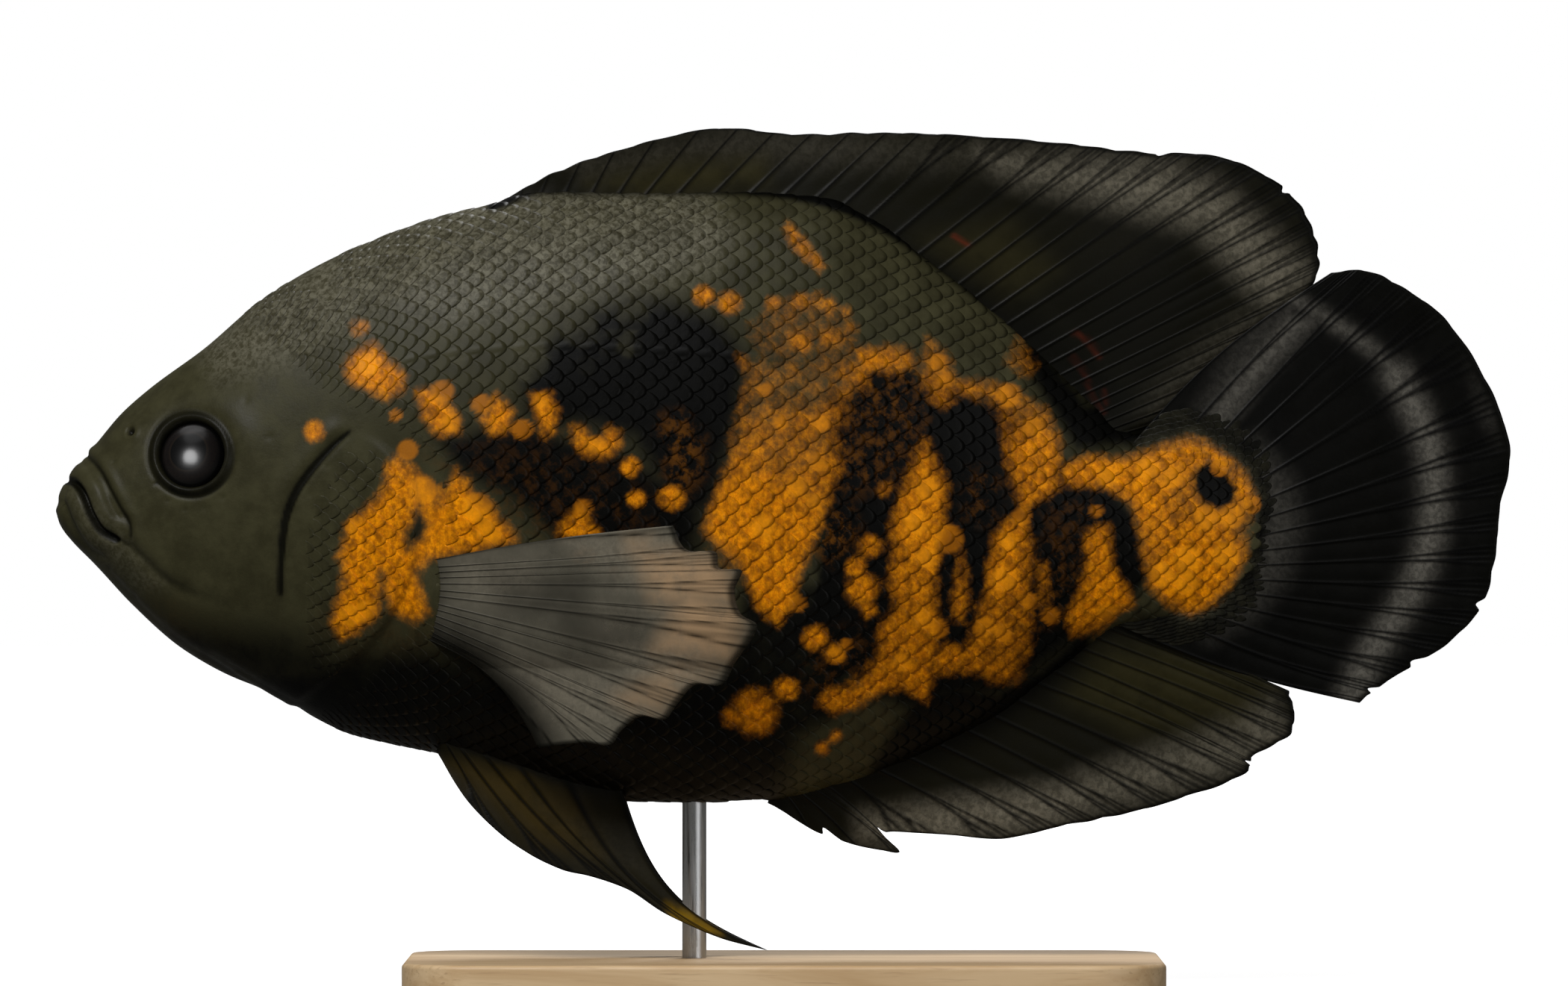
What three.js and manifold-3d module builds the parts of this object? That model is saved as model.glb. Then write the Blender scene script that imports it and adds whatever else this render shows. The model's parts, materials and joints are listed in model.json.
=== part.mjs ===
// Oscar fish, adult, swimming pose, as a still life-size model on a plain stand.
// Millimetres, +Z up. The head points to -X, the fish's left side faces -Y,
// and y = 0 is the fish's middle plane. The origin is the centre of the
// underside of the stand's base. Places on the fish are given as the distance
// behind the snout, and heights above the underside of the base.
import * as THREE from "three";
import { mergeVertices } from "three/addons/utils/BufferGeometryUtils.js";
import Module from "manifold-3d";

const wasm = await Module();
wasm.setup();

// Driving dimensions
const totalLength = 300; // snout to the rear edge of the tail fin
const bodyEnd = 256; // the body is drawn this far back before the tail fin's root trims it
const gap = 0.3; // clearance between touching pieces

const coverThickness = 2.6; // gill cover plate
const coverStep = 0.4; // how far the plate stands proud of the trunk

const eyeSpot = [28.4, 109.9];
const eyeRadius = 7; // eyeball, seen from the side
const eyeDepth = 4; // half its thickness, along the line of sight
const eyeSink = 1.6; // its middle lies this far under the cheek
const orbitRadius = 7.8; // middle of the raised ring round the eye
const orbitRim = 1.1;
const orbitSink = 0.25;

const nostrilSpot = [15.8, 114.4];
const nostrilRadius = 1;
const nostrilRim = 0.5;

const lipRadius = 1.9;
const lipEndShare = 0.35; // a lip's thickness at the corner of the mouth
const lipSetBack = 0.3; // how far a lip's middle lies inside the snout
const lipTuck = 0.94; // share of the snout's half width at which a lip's middle lies

const finSink = 3; // how far a fin's root line lies inside the body
const rayFoot = 0.2; // half a ray's foot, as a share of the ray spacing
const rayFade = 0.55; // share of a ray's height lost towards its tip

const pectoralRoot = 76.4; // place of the pectoral fin's upright root
const pectoralSpread = 0.42; // how steeply its blade leaves the side
const pectoralCurl = 0.0022; // how much it curls back towards the side
const pelvicRootSide = 8.6; // half the distance between the front ends of the pelvic roots
const pelvicRootTaper = 5; // how much closer together their rear ends are
const pelvicSpread = 0.44;
const pelvicCurl = 0.0035;
const pelvicTop = 46; // height from which the pelvic fins spread

const baseLength = 156;
const baseWidth = 92;
const baseHeight = 6;
const baseCorner = 16;
const baseChamfer = 1;
const rodRadius = 2.5;
const rodPlace = 131.5;
const rodSocket = 3; // how deep the rod sits in the belly and in the base

// The body's outline and half width, as [place, height] and [place, half width]
const backLine = [
  [0, 98.6], [0.8, 101.4], [3.1, 105.7], [7.4, 111], [13.3, 118.2], [19, 123.1], [29.7, 131],
  [42, 141.4], [61.3, 152.4], [86.7, 160.7], [104, 163.2], [142, 163], [158, 162], [168.4, 157.5],
  [184.6, 145.4], [200, 132.5], [213, 119.6], [218, 115], [226, 113.4], [240, 114.5], [256, 118],
];
const bellyLine = [
  [0, 98], [0.8, 95.4], [3.1, 92.1], [7.4, 87.5], [15, 79.3], [26.7, 69.3], [44, 59.9],
  [61.3, 52], [78, 48.5], [96, 43.2], [108, 39.8], [118, 38.2], [131, 38.2], [146, 39.3],
  [161.5, 42.8], [177, 48.4], [192.3, 56.2], [207.7, 67.3], [218, 74.2], [228, 74.8], [240, 73.5], [256, 69],
];
const girthLine = [
  [0, 0.8], [0.6, 3.2], [2, 5.4], [5, 8], [10, 11], [18, 14.3], [28, 17.2], [45, 21], [60, 23.4],
  [75, 24.8], [92, 25], [112, 24.4], [130, 23], [150, 20.4], [170, 17], [190, 13.4], [208, 9.8],
  [220, 7.6], [234, 5.2], [246, 3.7], [256, 3.2],
];
const backSharpness = 0.6; // the back is narrow
const bellySharpness = 0.48; // the belly is round
const ringCount = 43; // rings along the body, closer together towards the snout
const ringCrowding = 1.5;
const sidePoints = 17; // steps down one side of each ring

// Lines where the body is parted, as [place, height]
const mouthLine = [[-6, 105.6], [2, 104.4], [3.9, 104], [5.9, 102], [7.9, 97.4], [10, 94.2], [15.6, 91.2]];
const upperLipLine = [
  [2.5, 113.2], [6.3, 109.4], [8.9, 106.3], [11.2, 102.6], [13.8, 98.4], [16, 94.4], [15.3, 91],
];
const chinLine = [[15, 91.6], [19, 85.8], [24.3, 78.4], [28.5, 68.4], [29.5, 60]];
const coverTop = [61.8, 115.1];
const coverFoot = [50.2, 59.2];
const coverFront = [
  coverTop, [58.4, 112.4], [54.4, 108.1], [50.5, 102.8], [48.2, 97.4], [47.1, 90], [47, 80.9],
  [47.4, 72], [48.4, 64], coverFoot,
];
const coverRear = [
  coverFoot, [57.5, 64.2], [66.7, 72.7], [72.2, 82], [74.4, 89.7], [75.2, 97.4], [73.8, 105.1],
  [68.3, 111.2], coverTop,
];
const throatLine = [[47, 46], [48.4, 53]];
const napeLine = [[59.4, 124], [58, 138], [57.4, 156]];
const stemLine = [[220.5, 128], [222.5, 105], [222, 85], [220, 64]];
const tailRootLine = [
  [226, 121], [229, 113.2], [238, 108.2], [244.5, 100.5], [246.4, 93], [243, 83.5], [232, 74.5], [227, 66],
];
const tailRootSteps = 14;

// The middle of each lip, from the front of the snout to the corner of the mouth
const upperLip = [[4.1, 105.6], [5.8, 104.4], [7.7, 102.2], [9.3, 99], [11, 96], [14.4, 93.4]];
const lowerLip = [[2.8, 102.2], [3.9, 101.2], [5.2, 98.8], [6.6, 95.6], [9, 92.2], [13.2, 89.8]];

const sides = { left: -1, right: 1 };
const { clamp, smoothstep } = THREE.MathUtils;

// A smooth function through the given pairs, without overshoot
function smoothLine(pairs) {
  const last = pairs.length - 1;
  const steepness = (i) => (pairs[i + 1][1] - pairs[i][1]) / (pairs[i + 1][0] - pairs[i][0]);
  const slopes = pairs.map((pair, i) => {
    if (i === 0) return steepness(0);
    if (i === last) return steepness(last - 1);
    const [before, after] = [steepness(i - 1), steepness(i)];
    return before * after <= 0 ? 0 : (2 * before * after) / (before + after);
  });
  return (at) => {
    const beyond = pairs.findIndex((pair) => pair[0] > at);
    const i = beyond < 0 ? last - 1 : Math.max(0, beyond - 1);
    const span = pairs[i + 1][0] - pairs[i][0];
    const t = clamp((at - pairs[i][0]) / span, 0, 1);
    return (
      (2 * t ** 3 - 3 * t ** 2 + 1) * pairs[i][1] +
      (t ** 3 - 2 * t ** 2 + t) * span * slopes[i] +
      (3 * t ** 2 - 2 * t ** 3) * pairs[i + 1][1] +
      (t ** 3 - t ** 2) * span * slopes[i + 1]
    );
  };
}

const backHeight = smoothLine(backLine);
const bellyHeight = smoothLine(bellyLine);
const girth = smoothLine(girthLine);
const xOf = (place) => place - totalLength / 2;

// The share of the full width at a share of the way down from back to belly
function widthShare(down) {
  const shape = (share) => share ** backSharpness * (1 - share) ** bellySharpness;
  return shape(clamp(down, 0, 1)) / shape(backSharpness / (backSharpness + bellySharpness));
}

// Half the body's width at a spot on its side
function sideAt(place, height) {
  const top = backHeight(place);
  return girth(place) * widthShare((top - height) / (top - bellyHeight(place)));
}

// Solids from closed meshes, and meshes from solids
function toSolid(geometry) {
  const bare = geometry.clone();
  bare.deleteAttribute("normal");
  bare.deleteAttribute("uv");
  const merged = mergeVertices(bare, 1e-5);
  return new wasm.Manifold(new wasm.Mesh({
    numProp: 3,
    vertProperties: new Float32Array(merged.attributes.position.array),
    triVerts: new Uint32Array(merged.index.array),
  }));
}

function toGeometry(solid) {
  const mesh = solid.getMesh();
  const geometry = new THREE.BufferGeometry();
  geometry.setAttribute("position", new THREE.BufferAttribute(mesh.vertProperties, 3));
  geometry.setIndex(new THREE.BufferAttribute(mesh.triVerts, 1));
  geometry.computeVertexNormals();
  return geometry;
}

// A solid from points and triangles, turned right side out if need be
function solidOf(points, triangles) {
  const geometry = new THREE.BufferGeometry();
  geometry.setAttribute("position", new THREE.Float32BufferAttribute(points.flat(), 3));
  geometry.setIndex(triangles.flat());
  const solid = toSolid(geometry);
  if (solid.volume() > 0) return solid;
  geometry.setIndex(triangles.flatMap(([a, b, c]) => [b, a, c]));
  return toSolid(geometry);
}

function largestPiece(solid) {
  return solid.decompose().reduce((best, piece) => (piece.volume() > best.volume() ? piece : best));
}

// A closed solid from rings of points, with a point at each end
function ringSolid(rings, startPoint, endPoint) {
  const count = rings[0].length;
  const points = [startPoint, ...rings.flat(), endPoint];
  const at = (ring, i) => 1 + ring * count + (i % count);
  const triangles = [];
  for (let i = 0; i < count; i += 1) {
    triangles.push([0, at(0, i + 1), at(0, i)]);
    for (let ring = 0; ring < rings.length - 1; ring += 1) {
      triangles.push([at(ring, i), at(ring, i + 1), at(ring + 1, i + 1)]);
      triangles.push([at(ring, i), at(ring + 1, i + 1), at(ring + 1, i)]);
    }
    triangles.push([points.length - 1, at(rings.length - 1, i), at(rings.length - 1, i + 1)]);
  }
  return solidOf(points, triangles);
}

// The body between two places, grown or shrunk evenly by a small amount
function bodySolid(grow, from = 0, to = bodyEnd) {
  const places = [];
  for (let i = 0; i < ringCount; i += 1) {
    const place = bodyEnd * (i / (ringCount - 1)) ** ringCrowding;
    if (place >= from && place <= to) places.push(place);
  }
  const rings = places.map((place) => {
    const top = backHeight(place) + grow;
    const bottom = bellyHeight(place) - grow;
    const ring = [];
    for (let i = 0; i < 2 * sidePoints; i += 1) {
      const down = (1 - Math.cos((Math.PI * i) / sidePoints)) / 2;
      const side = i <= sidePoints ? -1 : 1;
      ring.push([xOf(place), side * (girth(place) + grow) * widthShare(down), top + (bottom - top) * down]);
    }
    return ring;
  });
  const [first, last] = [places[0], places[places.length - 1]];
  const middle = (place) => (backHeight(place) + bellyHeight(place)) / 2;
  const noseTip = from === 0 ? Math.max(grow, 0) + gap / 2 : 0;
  return ringSolid(rings, [xOf(first) - noseTip, 0, middle(first)], [xOf(last), 0, middle(last)]);
}

// Flat shapes in side view, carried right through the body
const cutterReach = 60;

function throughBody(outline) {
  const shape = new THREE.Shape(outline.map(([place, height]) => new THREE.Vector2(xOf(place), height)));
  const geometry = new THREE.ExtrudeGeometry(shape, { depth: 2 * cutterReach, bevelEnabled: false });
  geometry.rotateX(Math.PI / 2);
  geometry.translate(0, cutterReach, 0);
  return toSolid(geometry);
}

function curveThrough(points) {
  const vectors = points.map(([a, b, c = 0]) => new THREE.Vector3(a, b, c));
  return new THREE.CatmullRomCurve3(vectors, false, "centripetal");
}

// A path in side view moved sideways, to the left of its direction
function besidePath(path, distance) {
  return path.map((point, i) => {
    const ahead = path[Math.min(i + 1, path.length - 1)];
    const behind = path[Math.max(i - 1, 0)];
    const along = new THREE.Vector2(ahead.x - behind.x, ahead.y - behind.y).normalize();
    return [point.x - along.y * distance, point.y + along.x * distance];
  });
}

// A thin saw cut along a line in side view
function sawCut(line) {
  const path = curveThrough(line).getPoints(line.length - 1);
  return throughBody([...besidePath(path, gap / 2), ...besidePath(path, -gap / 2).reverse()]);
}

// A rounded strand along a curve, thinner towards both ends
function strand(points, radius, endShare, around, steps) {
  const curve = curveThrough(points);
  const frames = curve.computeFrenetFrames(steps, false);
  const rings = frames.normals.map((normal, i) => {
    const thick = radius * (endShare + (1 - endShare) * Math.sqrt(Math.sin((Math.PI * i) / steps)));
    return Array.from({ length: around }, (_, k) => {
      const angle = (2 * Math.PI * k) / around;
      const point = curve.getPointAt(i / steps);
      point.addScaledVector(normal, Math.cos(angle) * thick);
      point.addScaledVector(frames.binormals[i], Math.sin(angle) * thick);
      return point.toArray();
    });
  });
  return ringSolid(rings, curve.getPointAt(0).toArray(), curve.getPointAt(1).toArray());
}

// A lip runs from one corner of the mouth round the snout to the other
function lipSolid(line) {
  const [front, ...rest] = line;
  const onCheek = (side) => ([place, height]) => {
    return [xOf(place) + lipSetBack, side * sideAt(place, height) * lipTuck, height];
  };
  const middle = [xOf(front[0]) + lipSetBack, 0, front[1]];
  const path = [...rest.map(onCheek(sides.left)).reverse(), middle, ...rest.map(onCheek(sides.right))];
  return strand(path, lipRadius, lipEndShare, 6, 18);
}

// Sets a shape, made with its axis along Y, square on the fish's side
function onSide(geometry, [place, height], side, sink) {
  const step = 2;
  const alongBody = (sideAt(place + step, height) - sideAt(place - step, height)) / (2 * step);
  const upBody = (sideAt(place, height + step) - sideAt(place, height - step)) / (2 * step);
  const outward = new THREE.Vector3(-alongBody, side, -upBody).normalize();
  const turn = new THREE.Quaternion().setFromUnitVectors(new THREE.Vector3(0, side, 0), outward);
  const spot = new THREE.Vector3(xOf(place), side * sideAt(place, height), height);
  spot.addScaledVector(outward, -sink);
  const placed = geometry.clone();
  placed.applyMatrix4(new THREE.Matrix4().compose(spot, turn, new THREE.Vector3(1, 1, 1)));
  return toSolid(placed);
}

function eyeSolid(side, grow) {
  const ball = new THREE.SphereGeometry(1, 18, 9);
  ball.scale(eyeRadius + grow, eyeDepth + grow, eyeRadius + grow);
  return onSide(ball, eyeSpot, side, eyeSink);
}

function rimSolid(radius, rim, spot, side, around, sink) {
  const ring = new THREE.TorusGeometry(radius, rim, 6, around);
  ring.rotateX(Math.PI / 2);
  return onSide(ring, spot, side, sink);
}

function nostrilPit(side) {
  return onSide(new THREE.SphereGeometry(nostrilRadius, 8, 6), nostrilSpot, side, 0);
}

// A fin is a thin membrane from a root line to a tip line, crossed by raised rays.
// Its columns run along the rays, three to a ray: one foot, the crest, the other foot.
function finColumns(rays) {
  const last = rays - 1;
  const columns = [];
  for (let ray = 0; ray <= last; ray += 1) {
    if (ray > 0) columns.push({ u: (ray - rayFoot) / last, crest: false });
    columns.push({ u: ray / last, crest: true });
    if (ray < last) columns.push({ u: (ray + rayFoot) / last, crest: false });
  }
  return columns;
}

function finSolid(fin) {
  const rootCurve = curveThrough(fin.guides.map((guide) => guide.root));
  const tipCurve = curveThrough(fin.guides.map((guide) => guide.tip));
  const bow = smoothLine(fin.guides.map((guide, i) => [i / (fin.guides.length - 1), guide.bow]));
  const columns = finColumns(fin.rays);
  const near = [];
  const far = [];
  for (const { u, crest } of columns) {
    const root = rootCurve.getPoint(u);
    const along = tipCurve.getPoint(u).sub(root);
    const beside = new THREE.Vector3(-along.y, along.x, 0).normalize();
    const reach = crest ? 1 : 1 - Math.min(fin.notch / along.length(), 0.3);
    for (let row = 0; row <= fin.rows; row += 1) {
      const share = row / fin.rows;
      const v = share * (1 - (1 - reach) * share);
      const point = root.clone().addScaledVector(along, v);
      point.addScaledVector(beside, bow(u) * Math.sin(Math.PI * v));
      const membrane = fin.edge + (fin.base - fin.edge) * (1 - v) ** fin.taper;
      const half = membrane + (crest ? fin.ridge * (1 - rayFade * v) : 0);
      const middle = fin.sway(point.x, point.y, u, v);
      near.push([xOf(point.x), middle - half, point.y]);
      far.push([xOf(point.x), middle + half, point.y]);
    }
  }
  return sheetSolid(near, far, columns.length, fin.rows + 1);
}

// Two like grids of points, one behind the other, closed round the rim
function sheetSolid(near, far, columnCount, rowCount) {
  const at = (column, row) => column * rowCount + row;
  const behind = near.length;
  const triangles = [];
  const rim = (a, b) => triangles.push([a, b, b + behind], [a, b + behind, a + behind]);
  for (let column = 0; column < columnCount - 1; column += 1) {
    for (let row = 0; row < rowCount - 1; row += 1) {
      const [a, b] = [at(column, row), at(column + 1, row)];
      const [c, d] = [at(column + 1, row + 1), at(column, row + 1)];
      triangles.push([a, b, c], [a, c, d]);
      triangles.push([a + behind, c + behind, b + behind], [a + behind, d + behind, c + behind]);
    }
    rim(at(column + 1, 0), at(column, 0));
    rim(at(column, rowCount - 1), at(column + 1, rowCount - 1));
  }
  for (let row = 0; row < rowCount - 1; row += 1) {
    rim(at(0, row), at(0, row + 1));
    rim(at(columnCount - 1, row + 1), at(columnCount - 1, row));
  }
  return solidOf([...near, ...far], triangles);
}

// The fins. A guide gives a ray's root and tip, as [place, height], and how far it
// bows to the left of its own direction.
const dorsalFin = {
  rays: 28, rows: 5, base: 1.7, edge: 0.27, taper: 2.6, ridge: 0.36, notch: 1.2,
  guides: [
    [91, [90.6, 161.6]], [98.5, [102.3, 167.9]], [110, [117, 173]], [121, [136, 177.2]],
    [136, [152, 176]], [151, [168.7, 176.3]], [164, [184, 175.9]], [175.5, [206.9, 174.2]],
    [184, [222, 172]], [191, [242, 170.4]], [198, [255, 164.4]], [203.5, [260.8, 155.5]],
    [208, [260, 146.5]], [212, [249, 137.5]], [215, [236, 125.5]], [217.6, [221.5, 115.4]],
  ].map(([place, tip]) => ({ root: [place, backHeight(place) - finSink], tip, bow: 0 })),
  // the rear lobe leans to the far side, past the tail fin
  sway: (place, height, u, v) => v * (3.4 * smoothstep(place, 205, 235) + 0.9 * Math.sin(place / 11)),
};

const analFin = {
  rays: 17, rows: 5, base: 1.7, edge: 0.27, taper: 2.6, ridge: 0.36, notch: 1.2,
  guides: [
    [146, [146.6, 37.9], 0.6], [148.5, [159, 31], 0.6], [152, [173.8, 27.9], 0.6], [157, [170.8, 31.4], 0.6],
    [165, [195.4, 30.6], 0.6], [174.6, [208.5, 33.4], 0.6], [184, [220, 35.6], 0.6], [192, [233, 39.2], 0.6],
    [199, [245.8, 44.6], 0.6], [204, [246.6, 47.2], 0.6], [208.5, [254.6, 52.4], 0.4],
    [212.5, [255.2, 57.3], 0.4], [216, [254, 61.2], 0.4],
  ].map(([place, tip, bow]) => ({ root: [place, bellyHeight(place) + finSink], tip, bow })),
  sway: (place, height, u, v) => v * (0.7 * Math.sin(place / 12) - 1.3 * smoothstep(place, 215, 245)),
};

const tailFin = {
  rays: 16, rows: 5, base: 2.6, edge: 0.28, taper: 2.2, ridge: 0.38, notch: 1.4,
  guides: [
    [[226.5, 111], [263.2, 147.3], 2], [[231.5, 107.8], [269.5, 147.9], 1], [[236, 104.6], [278, 144.2], 0.2],
    [[239, 101], [288, 137.6], 0], [[241, 97.6], [297, 122.6], 0], [[241.8, 93.6], [299.8, 110.5], 0],
    [[241.4, 89.8], [297.6, 98], 0], [[239.6, 86.2], [296.6, 88], 0], [[236.8, 83], [293.6, 78], 0],
    [[233.6, 80.4], [286, 70.2], -0.6], [[230.6, 78.4], [274.4, 63], -1.4],
    [[227.8, 76.6], [268.6, 58.6], -2.6],
  ].map(([root, tip, bow]) => ({ root, tip, bow })),
  sway: (place, height, u, v) => v * (0.5 * Math.sin(5 * u) + 0.8 * Math.sin((place - 240) / 16)),
};

function pectoralFin(side) {
  return {
    rays: 11, rows: 5, base: 1.9, edge: 0.26, taper: 3, ridge: 0.34, notch: 2.2,
    guides: [
      [87.6, [127.3, 95.3], 0.8], [85.6, [130, 90.4], 0], [83.6, [136.6, 88.4], 0], [81.7, [141.3, 84.6], 0],
      [79.8, [144.1, 75.4], 0], [78, [137.8, 64], 0], [76.2, [126, 56], 0], [74.5, [113, 50.9], 0],
      [72.9, [100.3, 49.7], 1],
    ].map(([height, tip, bow]) => ({ root: [pectoralRoot - finSink / 2, height], tip, bow })),
    sway: (place, height) => {
      const out = place - pectoralRoot;
      const rootSide = sideAt(pectoralRoot, clamp(height, 66, 92)) - finSink / 2;
      const ripple = 0.5 * Math.sin(height / 5);
      return side * (rootSide + pectoralSpread * out - pectoralCurl * out ** 2 + ripple);
    },
  };
}

// The pelvic fin hangs from an oblique root and trails a long filament
function pelvicFin(side) {
  return {
    rays: 7, rows: 6, base: 1.8, edge: 0.28, taper: 2.6, ridge: 0.4, notch: 0.8,
    guides: [
      [79, [79.2, 46.6], 0], [81.8, [84.6, 38.7], -1.2], [86, [93.5, 30], -2], [92, [105.2, 24], -2],
      [98, [114, 21.6], -1.6], [104, [123, 17], -2.4], [110, [134.2, 11], -4.6], [116, [146.2, 8.2], -8],
    ].map(([place, tip, bow]) => ({ root: [place, bellyHeight(place) + finSink], tip, bow })),
    sway: (place, height) => {
      const drop = Math.max(0, pelvicTop - height);
      const rootSide = pelvicRootSide - pelvicRootTaper * smoothstep(place, 80, 118);
      return side * (rootSide + pelvicSpread * drop - pelvicCurl * drop ** 2);
    },
  };
}

// Display stand
function roundedRectangle(length, width, corner) {
  const [x, y] = [length / 2 - corner, width / 2 - corner];
  const shape = new THREE.Shape();
  shape.absarc(x, -y, corner, -Math.PI / 2, 0);
  shape.absarc(x, y, corner, 0, Math.PI / 2);
  shape.absarc(-x, y, corner, Math.PI / 2, Math.PI);
  shape.absarc(-x, -y, corner, Math.PI, 1.5 * Math.PI);
  return shape;
}

function rodSolid(radius, bottom, top) {
  const geometry = new THREE.CylinderGeometry(radius, radius, top - bottom, 20);
  geometry.rotateX(Math.PI / 2);
  geometry.translate(xOf(rodPlace), 0, (top + bottom) / 2);
  return toSolid(geometry);
}

function baseSolid() {
  const trim = 2 * baseChamfer;
  const plan = roundedRectangle(baseLength - trim, baseWidth - trim, baseCorner - baseChamfer);
  const geometry = new THREE.ExtrudeGeometry(plan, {
    depth: baseHeight - trim,
    bevelThickness: baseChamfer,
    bevelSize: baseChamfer,
    bevelSegments: 1,
    curveSegments: 4,
  });
  geometry.translate(0, 0, baseChamfer);
  return toSolid(geometry);
}

// The whole body with its lips, orbits and nostrils
function wholeBody() {
  let body = bodySolid(0).add(lipSolid(upperLip)).add(lipSolid(lowerLip));
  for (const side of Object.values(sides)) {
    body = body
      .add(rimSolid(orbitRadius, orbitRim, eyeSpot, side, 20, orbitSink))
      .add(rimSolid(nostrilRadius + nostrilRim, nostrilRim, nostrilSpot, side, 10, 0))
      .subtract(eyeSolid(side, gap))
      .subtract(nostrilPit(side));
  }
  return body;
}

// The gill covers are plates let into both sides between the cheek and the trunk
const coverOutline = [...coverFront, ...coverRear.slice(1, -1)];
const coverZone = throughBody(coverOutline);
const [coverFrom, coverTo] = [32, 94];
const coverPlates = bodySolid(coverStep, coverFrom, coverTo)
  .intersect(coverZone)
  .subtract(bodySolid(-coverThickness, coverFrom, coverTo));
const coverSeat = coverZone.subtract(bodySolid(-coverThickness - gap, coverFrom, coverTo));

// The tail fin's root line trims the end of the body
const tailRoot = curveThrough(tailRootLine).getPoints(tailRootSteps);
const beyondRoot = throughBody([...besidePath(tailRoot, 0), [270, 60], [270, 128]]);
const withinRoot = throughBody([...besidePath(tailRoot, gap), [200, 60], [200, 128]]);

// The rod's sockets in the belly and the base
const rodTop = bellyHeight(rodPlace) + rodSocket;
const rodFoot = baseHeight - rodSocket;

// The body, sawn into head, jaws, trunk and tail stem
function sawnBody() {
  const headLine = [...throatLine, ...coverRear, ...napeLine];
  let body = wholeBody().subtract(coverSeat).subtract(beyondRoot);
  for (const line of [mouthLine, upperLipLine, chinLine, headLine, stemLine]) {
    body = body.subtract(sawCut(line));
  }
  return body.subtract(rodSolid(rodRadius + gap, 0, rodTop + gap)).decompose();
}

const bodyPieces = sawnBody();
const scrapVolume = 20;

// The sawn piece whose middle lies nearest to a place and height
function pieceNear(place, height) {
  const away = (piece) => {
    const { min, max } = piece.boundingBox();
    return Math.hypot((min[0] + max[0]) / 2 - xOf(place), (min[2] + max[2]) / 2 - height);
  };
  return bodyPieces
    .filter((piece) => piece.volume() > scrapVolume)
    .reduce((best, piece) => (away(piece) < away(best) ? piece : best));
}

function halfSpace(side) {
  const box = new THREE.BoxGeometry(totalLength, cutterReach, totalLength);
  box.translate(0, (side * cutterReach) / 2, totalLength / 2);
  return toSolid(box);
}

// Finishes
function finish(color, roughness, metalness = 0) {
  return new THREE.MeshStandardMaterial({ color, roughness, metalness });
}

const finishes = {
  head: finish(0x3b3822, 0.4),
  lip: finish(0x45402a, 0.4),
  cover: finish(0x4a3a1c, 0.4),
  trunk: finish(0x3a2f1a, 0.4),
  stem: finish(0x8a5010, 0.4),
  darkFin: finish(0x24241c, 0.45),
  clearFin: finish(0x6a5f4a, 0.45),
  eye: finish(0x120c0a, 0.08),
  wood: finish(0xcfb58c, 0.5),
  steel: finish(0xb8bcc0, 0.3, 1),
};

const model = new THREE.Group();

function addPiece(name, solid, material) {
  const mesh = new THREE.Mesh(toGeometry(largestPiece(solid)), material);
  mesh.name = name;
  model.add(mesh);
}

addPiece("head", pieceNear(40, 104), finishes.head);
addPiece("upper_jaw", pieceNear(9, 101), finishes.lip);
addPiece("lower_jaw", pieceNear(14, 86), finishes.lip);
addPiece("trunk", pieceNear(135, 100), finishes.trunk);
addPiece("tail_stem", pieceNear(234, 94), finishes.stem);

const clearBody = bodySolid(gap);
addPiece("dorsal_fin", finSolid(dorsalFin).subtract(clearBody), finishes.darkFin);
addPiece("anal_fin", finSolid(analFin).subtract(clearBody), finishes.darkFin);
addPiece("tail_fin", finSolid(tailFin).subtract(withinRoot), finishes.darkFin);
for (const [name, side] of Object.entries(sides)) {
  addPiece(`gill_cover_${name}`, coverPlates.intersect(halfSpace(side)), finishes.cover);
  addPiece(`eye_${name}`, eyeSolid(side, 0), finishes.eye);
  addPiece(`pectoral_fin_${name}`, finSolid(pectoralFin(side)).subtract(clearBody), finishes.clearFin);
  addPiece(`pelvic_fin_${name}`, finSolid(pelvicFin(side)).subtract(clearBody), finishes.darkFin);
}

const rodHole = rodSolid(rodRadius + gap, rodFoot - gap, baseHeight + gap);
addPiece("stand_base", baseSolid().subtract(rodHole), finishes.wood);
addPiece("stand_rod", rodSolid(rodRadius, rodFoot, rodTop), finishes.steel);

export default model;
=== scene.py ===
# Oscar fish, adult, swimming, as a still life-size model on a plain stand.
# Lengths are millimetres until a mesh is made. A spot on the fish is given by its
# place, the distance behind the snout, and its height above the stand's underside.
# The head points to -X and the fish's left side faces -Y.
import json
import math

import bpy
import numpy as np
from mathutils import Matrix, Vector

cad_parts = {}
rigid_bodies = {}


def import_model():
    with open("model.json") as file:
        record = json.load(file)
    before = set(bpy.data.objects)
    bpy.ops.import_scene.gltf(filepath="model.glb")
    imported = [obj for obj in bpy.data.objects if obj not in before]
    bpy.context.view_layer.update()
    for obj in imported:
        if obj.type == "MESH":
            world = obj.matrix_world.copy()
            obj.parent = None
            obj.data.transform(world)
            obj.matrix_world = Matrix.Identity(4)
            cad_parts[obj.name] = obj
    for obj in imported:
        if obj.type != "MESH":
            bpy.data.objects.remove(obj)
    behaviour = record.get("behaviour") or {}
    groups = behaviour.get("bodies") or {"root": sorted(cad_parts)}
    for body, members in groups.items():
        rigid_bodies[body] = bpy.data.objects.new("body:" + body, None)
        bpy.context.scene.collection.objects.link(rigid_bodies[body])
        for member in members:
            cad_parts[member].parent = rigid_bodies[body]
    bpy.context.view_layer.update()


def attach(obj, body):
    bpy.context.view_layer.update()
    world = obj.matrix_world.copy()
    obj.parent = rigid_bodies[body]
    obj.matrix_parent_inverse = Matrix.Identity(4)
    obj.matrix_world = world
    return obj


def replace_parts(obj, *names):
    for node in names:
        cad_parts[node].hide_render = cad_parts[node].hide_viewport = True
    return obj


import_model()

MM = 0.001
TOTAL_LENGTH = 300
BODY_END = 256
LEFT, RIGHT = -1, 1
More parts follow.
